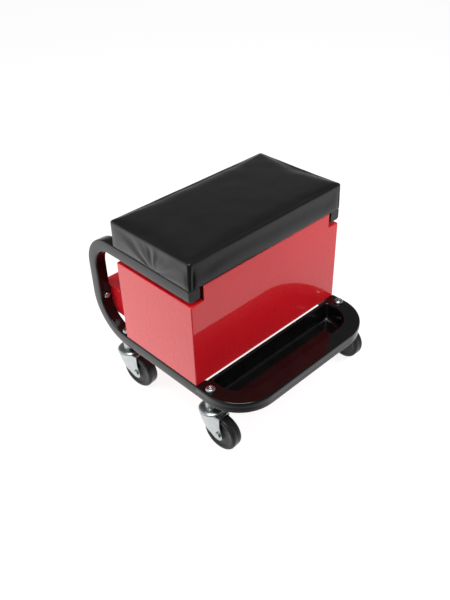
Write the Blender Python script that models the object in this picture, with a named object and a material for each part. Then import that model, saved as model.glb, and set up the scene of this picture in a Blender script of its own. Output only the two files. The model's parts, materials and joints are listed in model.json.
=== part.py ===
"""Rolling creeper seat: a bent tube frame on four swivel casters carries a padded seat,
a red steel cabinet with two drawers that open to the rear, and a parts tray in front.

Units are metres and +Z is up. The origin is on the floor, under the middle of the whole
object. X runs along the seat, and +Y points to the rear, away from the tray.
Every place below is written from the cabinet's front face (y = 0) and, where its name
ends in _UP, from the top of the frame's base tubes. One empty shifts it all to the origin.
"""

import math

import bmesh
import bpy
from mathutils import Matrix, Vector

# Gaps and sheet
GAP = 0.0003
SHEET = 0.0010

# Wheels and casters
WHEEL_RADIUS = 0.033
WHEEL_HALF_WIDTH = 0.0108
AXLE_DROP = 0.0775
CASTER_TRAIL = 0.0243
FRONT_CASTER_Y = -0.023
REAR_CASTER_Y = 0.197
FORK_HALF_WIDTH = 0.0135
FORK_SHEET = 0.0022
FORK_FRONT_Y = -0.0280
FORK_REAR_Y = 0.0145
LEG_FRONT_DROP = 0.0179
LEG_REAR_EDGE = ((-0.0175, -0.0470), (-0.0084, -0.0412), (0.0025, -0.0334), (FORK_REAR_Y, -0.0110))
LEG_TOE_RADIUS = 0.0087
LEG_TOE_DROP = 0.0030
RACE_RADIUS = 0.0218
RACE_HEIGHT = 0.0062
COLLAR_HEIGHT = 0.0125
KINGPIN_RADIUS = 0.0065
AXLE_RADIUS = 0.0038
AXLE_NUT_APOTHEM = 0.0060
AXLE_NUT_HEIGHT = 0.0042
AXLE_FIT = 0.0002
BUSH_RADIUS = 0.0062
BUSH_FIT = 0.0001
CASTERS = {
    "front_left": (-1, FRONT_CASTER_Y, 5.0),
    "front_right": (1, FRONT_CASTER_Y, 0.0),
    "rear_left": (-1, REAR_CASTER_Y, 8.0),
    "rear_right": (1, REAR_CASTER_Y, -8.0),
}

# Frame: one square tube, bent
DECK_Z = AXLE_DROP + WHEEL_RADIUS
TUBE = 0.022
TUBE_WALL = 0.002
TUBE_CORNER = 0.004
FRAME_HALF_WIDTH = 0.1775
RACE_TOP = -TUBE - COLLAR_HEIGHT
FORK_TOP = RACE_TOP - RACE_HEIGHT - GAP
ARM_TOP_UP = 0.1895
ARM_FRONT_Y = 0.003
FRAME_REAR_Y = 0.272
FRAME_FRONT_Y = -0.101
TOP_BEND = 0.055
LOWER_BEND = 0.071
PLAN_BEND = 0.064
BEND_STEPS = 7
HOLE_SIDES = 12
TUBE_X = FRAME_HALF_WIDTH - TUBE / 2
ARM_UP = ARM_TOP_UP - TUBE / 2
UPRIGHT_Y = FRAME_REAR_Y - TUBE / 2

# Tray
TRAY_TOP_UP = GAP + SHEET
TRAY_LIP = 0.010
TRAY_DEPTH = 0.0335
TRAY_OPENING_HALF = 0.1505
TRAY_OPENING_FRONT_Y = -0.075
TRAY_OPENING_REAR_Y = -0.0065
TRAY_REAR_RIM_Y = -0.0040
TRAY_EAR_Y = -0.0006
TRAY_DRAFT = 0.005
TRAY_FRONT_CORNER = 0.048
TRAY_REAR_CORNER = 0.006
TRAY_RIM_ROLL = 0.001

# Cabinet
CABINET_HALF_WIDTH = 0.1765
CABINET_DEPTH = 0.184
CABINET_HEIGHT = 0.160
FRONT_PANEL_TOP_UP = 0.1888
ARM_NOTCH = 0.027
FRONT_FLANGE = 0.012
CABINET_FLOOR_UP = GAP

# Drawer housing and drawers
HOUSING_HALF_WIDTH = 0.1535
HOUSING_BOTTOM_UP = 0.0155
HOUSING_TOP_UP = 0.0705
HOUSING_FRONT_Y = 0.008
HOUSING_REAR_Y = FRAME_REAR_Y + GAP
HOUSING_TAB_REACH = 0.0195
HOUSING_TAB_BOTTOM_UP = 0.044
HOUSING_BOLT_UP = 0.057
NUT_STANDOFF = 0.001
SHELF_TOP_UP = 0.0780
DRAWER_FRONT_Y = 0.014
LOWER_PAN_HALF_WIDTH = 0.1505
LOWER_PAN_TOP_UP = 0.060
LOWER_FACE_HALF_WIDTH = 0.1519
LOWER_FACE_TOP_UP = 0.0665
LOWER_FACE_Y = 0.2708
UPPER_PAN_HALF_WIDTH = 0.1445
UPPER_PAN_TOP_UP = 0.140
UPPER_FACE_HALF_WIDTH = 0.1520
UPPER_FACE_BOTTOM_UP = 0.0745
UPPER_FACE_TOP_UP = 0.1535
UPPER_FACE_Y = CABINET_DEPTH + GAP + SHEET
BACK_OPENING_TOP_UP = 0.148
PULL_REACH = 0.0105
PULL_DROP = 0.006

# Seat
SEAT_HALF_LENGTH = 0.177
SEAT_FRONT_Y = -0.001
SEAT_REAR_Y = 0.190
SEAT_TOP_UP = 0.238
SEAT_EDGE = 0.006
BOARD_INSET = 0.006
BOARD_THICKNESS = 0.012
SEAT_BOTTOM_UP = ARM_TOP_UP + GAP
SEAT_BOLT_Y = (0.040, 0.145)

# Fasteners
CASTER_SCREW_RADIUS = 0.004
CASTER_HEAD_RADIUS = 0.0084
CASTER_HEAD_HEIGHT = 0.0046
CASTER_HEAD_UP = TRAY_TOP_UP + GAP
SMALL_SCREW_RADIUS = 0.003
SMALL_HEAD_RADIUS = 0.0055
SMALL_HEAD_HEIGHT = 0.0032
HOLE_CLEARANCE = 0.0004
CABINET_SCREW_Y = (0.030, 0.150)
SHEET_HOLE_DEPTH = 0.010
SMALL_HOLE_RADIUS = SMALL_SCREW_RADIUS + HOLE_CLEARANCE
CASTER_HOLE_RADIUS = CASTER_SCREW_RADIUS + HOLE_CLEARANCE

# The overall depth runs from the tray's lip to the lower drawer's pull.
OVERALL_FRONT_Y = FRAME_FRONT_Y - GAP - SHEET
OVERALL_REAR_Y = LOWER_FACE_Y + PULL_REACH + SHEET
ORIGIN_Y = (OVERALL_FRONT_Y + OVERALL_REAR_Y) / 2

# Colour, metallic, roughness
FINISHES = {
    "black_paint": ((0.012, 0.012, 0.013), 0.0, 0.22),
    "red_paint": ((0.50, 0.012, 0.018), 0.0, 0.12),
    "zinc": ((0.62, 0.65, 0.66), 1.0, 0.28),
    "steel": ((0.72, 0.72, 0.72), 1.0, 0.20),
    "black_vinyl": ((0.018, 0.018, 0.019), 0.0, 0.42),
    "plywood": ((0.45, 0.30, 0.17), 0.0, 0.70),
    "black_plastic": ((0.014, 0.014, 0.014), 0.0, 0.35),
    "wheel_rubber": ((0.020, 0.020, 0.021), 0.0, 0.45),
}


def clear_scene():
    for item in list(bpy.data.objects):
        bpy.data.objects.remove(item, do_unlink=True)


def finish(name):
    """Return the material called name, made on its first use."""
    material = bpy.data.materials.get(name)
    if material is None:
        colour, metallic, roughness = FINISHES[name]
        material = bpy.data.materials.new(name)
        material.use_nodes = True
        shader = material.node_tree.nodes["Principled BSDF"]
        shader.inputs["Base Color"].default_value = (*colour, 1.0)
        shader.inputs["Metallic"].default_value = metallic
        shader.inputs["Roughness"].default_value = roughness
    return material


def add_object(name, mesh, finish_name, parent, location=(0, 0, 0)):
    body = bpy.data.objects.new(name, mesh)
    bpy.context.collection.objects.link(body)
    body.parent = parent
    body.location = location
    if finish_name:
        mesh.materials.clear()
        mesh.materials.append(finish(finish_name))
    return body


def add_empty(name, parent, location, turn_deg=0.0):
    empty = bpy.data.objects.new(name, None)
    bpy.context.collection.objects.link(empty)
    empty.parent = parent
    empty.location = location
    empty.rotation_euler.z = math.radians(turn_deg)
    return empty


def mesh_from_bmesh(name, shape, smooth_deg=None):
    """Turn a bmesh into a mesh with outward faces, smooth where the angle is small."""
    bmesh.ops.recalc_face_normals(shape, faces=shape.faces[:])
    mesh = bpy.data.meshes.new(name)
    shape.to_mesh(mesh)
    shape.free()
    if smooth_deg is not None:
        mesh.shade_smooth()
        mesh.set_sharp_from_angle(angle=math.radians(smooth_deg))
    return mesh


def box_mesh(name, low, high, edge=0.0, steps=2):
    """Return a box between two corners, with its edges rounded by edge."""
    shape = bmesh.new()
    bmesh.ops.create_cube(shape, size=1.0)
    size = Vector(high) - Vector(low)
    bmesh.ops.scale(shape, vec=size, verts=shape.verts[:])
    bmesh.ops.translate(shape, vec=(Vector(low) + Vector(high)) / 2, verts=shape.verts[:])
    if edge:
        bmesh.ops.bevel(shape, geom=shape.edges[:], offset=edge, segments=steps, affect="EDGES", profile=0.5)
    return mesh_from_bmesh(name, shape, 40 if edge else None)


def turned_mesh(name, profile, segments, smooth_deg=35):
    """Spin a closed (radius, height) outline about the Z axis."""
    shape = bmesh.new()
    verts = [shape.verts.new((radius, 0.0, height)) for radius, height in profile]
    edges = [shape.edges.new((verts[i - 1], verts[i])) for i in range(len(verts))]
    on_axis = [e for e in edges if all(v.co.x == 0.0 for v in e.verts)]
    for edge in on_axis:
        shape.edges.remove(edge)
    geometry = shape.verts[:] + shape.edges[:]
    bmesh.ops.spin(shape, geom=geometry, cent=(0, 0, 0), axis=(0, 0, 1), dvec=(0, 0, 0), angle=math.tau,
                   steps=segments, use_merge=True)
    bmesh.ops.remove_doubles(shape, verts=shape.verts[:], dist=1e-6)
    return mesh_from_bmesh(name, shape, smooth_deg)


def sheet_object(name, points, faces, thickness, finish_name, parent):
    """Fold a surface from points and faces, and thicken it inwards."""
    shape = bmesh.new()
    verts = [shape.verts.new(point) for point in points]
    for face in faces:
        shape.faces.new([verts[i] for i in face])
    mesh = bpy.data.meshes.new(name)
    shape.to_mesh(mesh)
    shape.free()
    body = add_object(name, mesh, finish_name, parent)
    thicken(body, thickness)
    return body


def thicken(body, thickness):
    """Give a surface an exact thickness on its inner side, also at its folds."""
    solidify = body.modifiers.new("thickness", "SOLIDIFY")
    solidify.solidify_mode = "NON_MANIFOLD"
    solidify.nonmanifold_thickness_mode = "CONSTRAINTS"
    solidify.nonmanifold_merge_threshold = 0.00001
    solidify.thickness = thickness
    solidify.offset = -1.0


def cut(body, cutter):
    modifier = body.modifiers.new("cut_" + cutter.name, "BOOLEAN")
    modifier.operation = "DIFFERENCE"
    modifier.solver = "EXACT"
    modifier.object = cutter


def as_cutter(body):
    body.hide_render = True
    body.display_type = "WIRE"
    return body


def cutter_box(name, low, high, parent):
    return as_cutter(add_object(name, box_mesh(name, low, high), None, parent))


def drill(body, holes, parent, sides=HOLE_SIDES):
    """Cut round holes, each given as (place, axis, radius, depth), with one cutter."""
    turns = {"X": Matrix.Rotation(math.pi / 2, 4, "Y"), "Y": Matrix.Rotation(math.pi / 2, 4, "X")}
    shape = bmesh.new()
    for place, axis, radius, depth in holes:
        turn = turns.get(axis, Matrix.Identity(4))
        bmesh.ops.create_cone(shape, cap_ends=True, segments=sides, radius1=radius, radius2=radius, depth=depth,
                              matrix=Matrix.Translation(place) @ turn)
    name = body.name + "_drill"
    cut(body, as_cutter(add_object(name, mesh_from_bmesh(name, shape), None, parent)))


def arc(centre, radius, start_deg, end_deg, steps):
    """Points of an arc in a plane, with both ends."""
    points = []
    for i in range(steps + 1):
        angle = math.radians(start_deg + (end_deg - start_deg) * i / steps)
        points.append((centre[0] + radius * math.cos(angle), centre[1] + radius * math.sin(angle)))
    return points


# Frame

def frame_path():
    """The tube's centre line, from the left arm's front end to the right arm's."""
    top_y = UPRIGHT_Y - TOP_BEND
    low_y = UPRIGHT_Y - LOWER_BEND
    base_up = -TUBE / 2
    front_y = FRAME_FRONT_Y + TUBE / 2
    side = [(ARM_FRONT_Y, ARM_UP)]
    side += arc((top_y, ARM_UP - TOP_BEND), TOP_BEND, 90, 0, BEND_STEPS)
    side += arc((low_y, base_up + LOWER_BEND), LOWER_BEND, 0, -90, BEND_STEPS)
    left = [Vector((-TUBE_X, y, DECK_Z + up)) for y, up in side]
    corner_x = -TUBE_X + PLAN_BEND
    corner = arc((corner_x, front_y + PLAN_BEND), PLAN_BEND, 180, 270, BEND_STEPS)
    left += [Vector((x, y, DECK_Z + base_up)) for x, y in corner]
    right = [Vector((-p.x, p.y, p.z)) for p in reversed(left)]
    return left + right


def tube_section(half, corner, steps):
    """A square outline with round corners, as (across, up) pairs."""
    points = []
    for quarter in range(4):
        turn = quarter * 90
        centre_angle = math.radians(turn + 45)
        reach = (half - corner) * math.sqrt(2)
        centre = (reach * math.cos(centre_angle), reach * math.sin(centre_angle))
        points += arc(centre, corner, turn, turn + 90, steps)
    return points


def swept_rings(shape, path, section):
    """Carry a section along a path without twist, and return its rings of vertices."""
    rings = []
    across = Vector((1, 0, 0))
    for i, point in enumerate(path):
        before = path[max(i - 1, 0)]
        after = path[min(i + 1, len(path) - 1)]
        backward = (point - before).normalized() if i else (after - point).normalized()
        forward = (after - point).normalized() if i < len(path) - 1 else backward
        along = (backward + forward).normalized()
        across = (across - along * across.dot(along)).normalized()
        up = across.cross(along)
        stretch = 1.0 / max(along.dot(forward), 0.5)
        bend = forward - backward
        bend = bend.normalized() if bend.length > 1e-6 else Vector((0, 0, 0))
        ring = []
        for a, b in section:
            offset = across * a + up * b
            offset += bend * offset.dot(bend) * (stretch - 1.0)
            ring.append(shape.verts.new(point + offset))
        rings.append(ring)
    return rings


def join_rings(shape, first, second):
    count = len(first)
    for i in range(count):
        j = (i + 1) % count
        shape.faces.new((first[i], first[j], second[j], second[i]))


def frame_holes():
    """Every screw hole through the tube."""
    holes = [((side * TUBE_X, y, DECK_Z - TUBE / 2), "Z", CASTER_HOLE_RADIUS, TUBE * 2)
             for side, y, _ in CASTERS.values()]
    for side in (-1, 1):
        for y in SEAT_BOLT_Y:
            holes.append(((side * TUBE_X, y, DECK_Z + ARM_UP), "Z", SMALL_HOLE_RADIUS, TUBE * 1.5))
        for y in CABINET_SCREW_Y:
            holes.append(((side * TUBE_X, y, DECK_Z), "Z", SMALL_HOLE_RADIUS, TUBE * 1.2))
        place = (side * TUBE_X, UPRIGHT_Y, DECK_Z + HOUSING_BOLT_UP)
        holes.append((place, "Y", SMALL_HOLE_RADIUS, TUBE * 2))
    return holes


def spot_faces():
    """Flats for the rear caster screws, where the tube already starts to bend upwards."""
    height = 0.02
    radius = CASTER_HEAD_RADIUS * 1.08
    middle = DECK_Z + TRAY_TOP_UP + height / 2
    return [((side * TUBE_X, REAR_CASTER_Y, middle), "Z", radius, height) for side in (-1, 1)]


def build_frame(root):
    shape = bmesh.new()
    path = frame_path()
    outer = swept_rings(shape, path, tube_section(TUBE / 2, TUBE_CORNER, 2))
    inner = swept_rings(shape, path, tube_section(TUBE / 2 - TUBE_WALL, TUBE_CORNER - TUBE_WALL, 2))
    for rings in (outer, inner):
        for first, second in zip(rings, rings[1:]):
            join_rings(shape, first, second)
    join_rings(shape, outer[0], inner[0])
    join_rings(shape, outer[-1], inner[-1])
    tube = add_object("frame_tube", mesh_from_bmesh("frame_tube", shape, 40), "black_paint", root)
    drill(tube, frame_holes(), root)
    drill(tube, spot_faces(), root, 20)
    build_end_plugs(root)


def build_end_plugs(root):
    """A plastic plug closes each arm's open front end."""
    face = 0.002
    insert = 0.012
    chamfer = 0.0006
    taper = 0.0008
    half = TUBE / 2
    inside = half - TUBE_WALL - GAP
    for side, name in ((-1, "arm_plug_left"), (1, "arm_plug_right")):
        shape = bmesh.new()
        sections = [
            (ARM_FRONT_Y - GAP - face, half - chamfer, TUBE_CORNER - chamfer),
            (ARM_FRONT_Y - GAP, half, TUBE_CORNER),
            (ARM_FRONT_Y - GAP, inside, TUBE_CORNER - TUBE_WALL),
            (ARM_FRONT_Y + insert, inside - taper, TUBE_CORNER - TUBE_WALL),
        ]
        rings = []
        for y, reach, corner in sections:
            outline = tube_section(reach, corner, 2)
            rings.append([shape.verts.new((side * TUBE_X + a, y, DECK_Z + ARM_UP + b)) for a, b in outline])
        for first, second in zip(rings, rings[1:]):
            join_rings(shape, first, second)
        shape.faces.new(rings[0])
        shape.faces.new(rings[-1])
        add_object(name, mesh_from_bmesh(name, shape, 40), "black_plastic", root)


# Tray

def tray_opening(inset):
    """The pan's outline, inset from the opening in the tray's flange, from the rear left."""
    half = TRAY_OPENING_HALF - inset
    front = TRAY_OPENING_FRONT_Y + inset
    rear = TRAY_OPENING_REAR_Y - inset
    big = TRAY_FRONT_CORNER - inset
    small = TRAY_REAR_CORNER
    left = arc((-half + small, rear - small), small, 90, 180, 3)
    left += arc((-half + big, front + big), big, 180, 270, BEND_STEPS)
    return left + [(-x, y) for x, y in reversed(left)]


def tray_outline():
    """The flange's outer edge, with an ear on each side tube, from the rear left."""
    half = FRAME_HALF_WIDTH + GAP + SHEET
    front = FRAME_FRONT_Y - GAP - SHEET
    ear = FRAME_HALF_WIDTH - TUBE
    corner = PLAN_BEND + TUBE / 2 + GAP + SHEET
    left = [(-ear, TRAY_REAR_RIM_Y), (-ear, TRAY_EAR_Y), (-half, TRAY_EAR_Y), (-half, FRONT_CASTER_Y)]
    left += arc((-half + corner, front + corner), corner, 180, 270, BEND_STEPS)
    return left + [(-x, y) for x, y in reversed(left)]


def build_tray(root):
    shape = bmesh.new()
    top = DECK_Z + TRAY_TOP_UP
    corner_step = 0.003
    outline = tray_outline()
    loops = [
        [shape.verts.new((x, y, top)) for x, y in outline],
        [shape.verts.new((x, y, top)) for x, y in tray_opening(0.0)],
        [shape.verts.new((x, y, top - TRAY_RIM_ROLL)) for x, y in tray_opening(TRAY_RIM_ROLL)],
        [shape.verts.new((x, y, top - TRAY_DEPTH + corner_step)) for x, y in tray_opening(TRAY_DRAFT)],
        [shape.verts.new((x, y, top - TRAY_DEPTH)) for x, y in tray_opening(TRAY_DRAFT + corner_step)],
    ]
    rims = []
    for loop in loops[:2]:
        rims += [shape.edges.new((loop[i - 1], loop[i])) for i in range(len(loop))]
    bmesh.ops.triangle_fill(shape, use_beauty=True, edges=rims, normal=(0, 0, 1))
    for first, second in zip(loops[1:], loops[2:]):
        join_rings(shape, first, second)
    shape.faces.new(loops[-1])
    lip = [shape.verts.new((x, y, top - TRAY_LIP)) for x, y in outline]
    first_lip = 2
    last_lip = len(outline) - 3
    for i in range(first_lip, last_lip):
        shape.faces.new((loops[0][i], loops[0][i + 1], lip[i + 1], lip[i]))
    for i, vert in enumerate(lip):
        if i < first_lip or i > last_lip:
            shape.verts.remove(vert)
    bmesh.ops.recalc_face_normals(shape, faces=shape.faces[:])
    top_face = max(shape.faces, key=lambda f: f.calc_center_median().z)
    if top_face.normal.z < 0:
        bmesh.ops.reverse_faces(shape, faces=shape.faces[:])
    mesh = bpy.data.meshes.new("tray")
    shape.to_mesh(mesh)
    shape.free()
    mesh.shade_smooth()
    mesh.set_sharp_from_angle(angle=math.radians(40))
    tray = add_object("tray", mesh, "black_paint", root)
    thicken(tray, SHEET)
    holes = [((side * TUBE_X, FRONT_CASTER_Y, top), "Z", CASTER_HOLE_RADIUS, SHEET_HOLE_DEPTH) for side in (-1, 1)]
    drill(tray, holes, root)


# Cabinet

def build_cabinet(root):
    w = CABINET_HALF_WIDTH
    n = CABINET_HALF_WIDTH - ARM_NOTCH
    d = CABINET_DEPTH
    low = DECK_Z + CABINET_FLOOR_UP
    high = DECK_Z + CABINET_HEIGHT
    peak = DECK_Z + FRONT_PANEL_TOP_UP
    points = [
        (-w, 0, low), (w, 0, low), (w, 0, high), (n, 0, high), (n, 0, peak), (-n, 0, peak), (-n, 0, high),
        (-w, 0, high), (-w, d, low), (w, d, low), (w, d, high), (-w, d, high), (n, d, high), (-n, d, high),
        (n, FRONT_FLANGE, peak), (-n, FRONT_FLANGE, peak),
    ]
    faces = [
        (0, 1, 2, 3, 4, 5, 6, 7),
        (0, 7, 11, 8),
        (1, 9, 10, 2),
        (0, 8, 9, 1),
        (7, 6, 13, 11),
        (2, 10, 12, 3),
        (4, 14, 15, 5),
    ]
    shell = sheet_object("cabinet_shell", points, faces, SHEET, "red_paint", root)
    holes = [((side * TUBE_X, y, low), "Z", SMALL_HOLE_RADIUS, SHEET_HOLE_DEPTH)
             for side in (-1, 1) for y in CABINET_SCREW_Y]
    drill(shell, holes, root)
    build_cabinet_back(root)


def build_cabinet_back(root):
    """The rear wall, folded forward at its edges, with an opening for each drawer."""
    w = CABINET_HALF_WIDTH - SHEET - GAP
    low = DECK_Z + CABINET_FLOOR_UP + SHEET + GAP
    high = DECK_Z + CABINET_HEIGHT - SHEET - GAP
    rear = CABINET_DEPTH
    reach = SHEET_HOLE_DEPTH
    fore = rear - FRONT_FLANGE
    points = [
        (-w, rear, low), (w, rear, low), (w, rear, high), (-w, rear, high),
        (-w, fore, low), (w, fore, low), (w, fore, high), (-w, fore, high),
    ]
    faces = [(0, 3, 2, 1), (0, 1, 5, 4), (2, 3, 7, 6), (0, 4, 7, 3), (1, 2, 6, 5)]
    back = sheet_object("cabinet_back", points, faces, SHEET, "red_paint", root)
    lower = cutter_box(
        "housing_opening_cutter",
        (-HOUSING_HALF_WIDTH - GAP, rear - reach, DECK_Z + HOUSING_BOTTOM_UP - GAP),
        (HOUSING_HALF_WIDTH + GAP, rear + reach, DECK_Z + HOUSING_TOP_UP + GAP),
        root,
    )
    pan_clearance = 0.002
    upper = cutter_box(
        "drawer_opening_cutter",
        (-UPPER_PAN_HALF_WIDTH - pan_clearance, rear - reach, DECK_Z + SHELF_TOP_UP),
        (UPPER_PAN_HALF_WIDTH + pan_clearance, rear + reach, DECK_Z + BACK_OPENING_TOP_UP),
        root,
    )
    cut(back, lower)
    cut(back, upper)


def build_housing(root):
    """The lower drawer's sleeve, which reaches back between the uprights."""
    w = HOUSING_HALF_WIDTH
    t = w + HOUSING_TAB_REACH
    low = DECK_Z + HOUSING_BOTTOM_UP
    high = DECK_Z + HOUSING_TOP_UP
    tab = DECK_Z + HOUSING_TAB_BOTTOM_UP
    fore = HOUSING_FRONT_Y
    rear = HOUSING_REAR_Y
    points = [
        (-w, fore, low), (w, fore, low), (w, fore, high), (-w, fore, high),
        (-w, rear, low), (w, rear, low), (w, rear, high), (-w, rear, high),
        (-w, rear, tab), (w, rear, tab), (-t, rear, tab), (-t, rear, high), (t, rear, tab), (t, rear, high),
    ]
    faces = [
        (0, 4, 5, 1),
        (3, 2, 6, 7),
        (0, 3, 7, 8, 4),
        (1, 5, 9, 6, 2),
        (7, 11, 10, 8),
        (6, 9, 12, 13),
    ]
    housing = sheet_object("drawer_housing", points, faces, SHEET, "red_paint", root)
    holes = [((side * TUBE_X, rear, DECK_Z + HOUSING_BOLT_UP), "Y", SMALL_HOLE_RADIUS, SHEET_HOLE_DEPTH)
             for side in (-1, 1)]
    drill(housing, holes, root)


def build_shelf(root):
    """The upper drawer slides on a shelf, between two angle guides."""
    half = CABINET_HALF_WIDTH - SHEET - GAP
    front = SHEET * 2
    rear = CABINET_DEPTH - FRONT_FLANGE - GAP
    top = DECK_Z + SHELF_TOP_UP
    drop = 0.005
    points = [
        (-half, front, top), (half, front, top), (half, rear, top), (-half, rear, top),
        (-half, front, top - drop), (half, front, top - drop), (half, rear, top - drop), (-half, rear, top - drop),
    ]
    faces = [(0, 1, 2, 3), (1, 5, 6, 2), (0, 3, 7, 4)]
    sheet_object("drawer_shelf", points, faces, SHEET, "red_paint", root)
    foot = 0.010
    guide_height = 0.014
    for side, name in ((-1, "drawer_guide_left"), (1, "drawer_guide_right")):
        near = side * (UPPER_PAN_HALF_WIDTH + 0.0008)
        far = near + side * foot
        base = top + GAP
        points = [
            (near, front, base), (far, front, base), (far, rear, base), (near, rear, base),
            (near, front, base + guide_height), (near, rear, base + guide_height),
        ]
        faces = [(0, 1, 2, 3), (0, 3, 5, 4)] if side < 0 else [(0, 3, 2, 1), (0, 4, 5, 3)]
        sheet_object(name, points, faces, SHEET, "zinc", root)


def build_pan(name, half, top_up, bottom, rear, root):
    """An open drawer pan of folded sheet, measured over its outside."""
    low = bottom
    high = DECK_Z + top_up
    fore = DRAWER_FRONT_Y
    points = [
        (-half, fore, low), (half, fore, low), (half, rear, low), (-half, rear, low),
        (-half, fore, high), (half, fore, high), (half, rear, high), (-half, rear, high),
    ]
    faces = [(0, 3, 2, 1), (0, 1, 5, 4), (1, 2, 6, 5), (2, 3, 7, 6), (3, 0, 4, 7)]
    return sheet_object(name, points, faces, SHEET, "red_paint", root)


def build_face(name, half, bottom_up, top_up, face_y, root):
    """A drawer face whose top edge rolls outwards as a full-width pull."""
    low = DECK_Z + bottom_up
    roll = PULL_REACH / 2
    crown = DECK_Z + top_up - roll
    outline = [(face_y, low)]
    outline += [(face_y + roll - y, crown + up) for y, up in arc((0, 0), roll, 0, 180, 6)]
    outline.append((face_y + PULL_REACH, crown - PULL_DROP))
    points = []
    for y, z in outline:
        points += [(-half, y, z), (half, y, z)]
    faces = [(2 * i, 2 * i + 2, 2 * i + 3, 2 * i + 1) for i in range(len(outline) - 1)]
    face = sheet_object(name, points, faces, SHEET, "red_paint", root)
    face.data.shade_smooth()
    face.data.set_sharp_from_angle(angle=math.radians(40))
    return face


def build_drawers(root):
    lower_bottom = DECK_Z + HOUSING_BOTTOM_UP + SHEET + GAP
    rear = LOWER_FACE_Y - SHEET - GAP
    build_pan("lower_drawer_pan", LOWER_PAN_HALF_WIDTH, LOWER_PAN_TOP_UP, lower_bottom, rear, root)
    bottom_up = HOUSING_BOTTOM_UP + SHEET + 2 * GAP
    build_face("lower_drawer_face", LOWER_FACE_HALF_WIDTH, bottom_up, LOWER_FACE_TOP_UP, LOWER_FACE_Y, root)
    upper_bottom = DECK_Z + SHELF_TOP_UP + GAP
    rear = UPPER_FACE_Y - SHEET - GAP
    build_pan("upper_drawer_pan", UPPER_PAN_HALF_WIDTH, UPPER_PAN_TOP_UP, upper_bottom, rear, root)
    build_face("upper_drawer_face", UPPER_FACE_HALF_WIDTH, UPPER_FACE_BOTTOM_UP, UPPER_FACE_TOP_UP,
               UPPER_FACE_Y, root)


# Seat

def build_seat(root):
    low = DECK_Z + SEAT_BOTTOM_UP
    board_low = (-SEAT_HALF_LENGTH + BOARD_INSET, SEAT_FRONT_Y + BOARD_INSET, low)
    board_high = (SEAT_HALF_LENGTH - BOARD_INSET, SEAT_REAR_Y - BOARD_INSET, low + BOARD_THICKNESS)
    board = add_object("seat_board", box_mesh("seat_board", board_low, board_high), "plywood", root)
    bolt_hole_depth = 0.020
    holes = [((side * TUBE_X, y, low), "Z", SMALL_HOLE_RADIUS, bolt_hole_depth)
             for side in (-1, 1) for y in SEAT_BOLT_Y]
    drill(board, holes, root)
    pad_low = (-SEAT_HALF_LENGTH, SEAT_FRONT_Y, low)
    pad_high = (SEAT_HALF_LENGTH, SEAT_REAR_Y, DECK_Z + SEAT_TOP_UP)
    pad = add_object("seat_cushion", box_mesh("seat_cushion", pad_low, pad_high, SEAT_EDGE), "black_vinyl", root)
    pocket = cutter_box(
        "board_pocket_cutter",
        (board_low[0] - GAP, board_low[1] - GAP, low - BOARD_THICKNESS),
        (board_high[0] + GAP, board_high[1] + GAP, board_high[2] + GAP),
        root,
    )
    cut(pad, pocket)


# Fasteners

def button_profile(head_radius, head_height, shank_radius, shank_length):
    """A domed screw head above z = 0 and its shank below, as a turned outline."""
    dome = [
        (head_radius, head_height * 0.25),
        (head_radius * 0.84, head_height * 0.75),
        (head_radius * 0.55, head_height),
    ]
    return [(0.0, -shank_length), (shank_radius, -shank_length), (shank_radius, 0.0), (head_radius, 0.0)] + dome


def socket_outline(profile, head_radius, head_height):
    """Close a screw's outline with the hexagon socket's wall and floor."""
    socket = head_radius * 0.38
    floor = head_height * 0.35
    return profile + [(socket, head_height), (socket, floor), (0.0, floor)]


def screw_mesh(name, head_radius, head_height, shank_radius, shank_length, segments):
    profile = button_profile(head_radius, head_height, shank_radius, shank_length)
    return turned_mesh(name, socket_outline(profile, head_radius, head_height), segments)


def nut_mesh(name, bore, apothem, low, high):
    """A hexagon nut about Z with a round bore: the outer rings lie on the hexagon."""
    steps = 12
    shape = bmesh.new()
    rings = []
    for inside, height in ((True, low), (False, low), (False, high), (True, high)):
        ring = []
        for i in range(steps):
            angle = math.tau * i / steps
            off_flat = (angle + math.pi / 6) % (math.pi / 3) - math.pi / 6
            radius = bore if inside else apothem / math.cos(off_flat)
            ring.append(shape.verts.new((radius * math.cos(angle), radius * math.sin(angle), height)))
        rings.append(ring)
    for first, second in zip(rings, rings[1:] + rings[:1]):
        join_rings(shape, first, second)
    return mesh_from_bmesh(name, shape, 20)


def build_seat_bolts(root):
    length = TUBE + 0.0095
    mesh = screw_mesh("seat_bolt", SMALL_HEAD_RADIUS, SMALL_HEAD_HEIGHT, SMALL_SCREW_RADIUS, length, 12)
    head_up = ARM_TOP_UP - TUBE - GAP
    for side, side_name in ((-1, "left"), (1, "right")):
        for y, end_name in zip(SEAT_BOLT_Y, ("front", "rear")):
            name = f"seat_bolt_{end_name}_{side_name}"
            bolt = add_object(name, mesh, "zinc", root, (side * TUBE_X, y, DECK_Z + head_up))
            bolt.rotation_euler.x = math.pi


def build_cabinet_screws(root):
    length = 0.012
    mesh = screw_mesh("cabinet_screw", SMALL_HEAD_RADIUS, SMALL_HEAD_HEIGHT, SMALL_SCREW_RADIUS, length, 12)
    head_up = CABINET_FLOOR_UP + SHEET + GAP
    for side, side_name in ((-1, "left"), (1, "right")):
        for y, end_name in zip(CABINET_SCREW_Y, ("front", "rear")):
            name = f"cabinet_screw_{end_name}_{side_name}"
            add_object(name, mesh, "zinc", root, (side * TUBE_X, y, DECK_Z + head_up))


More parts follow.
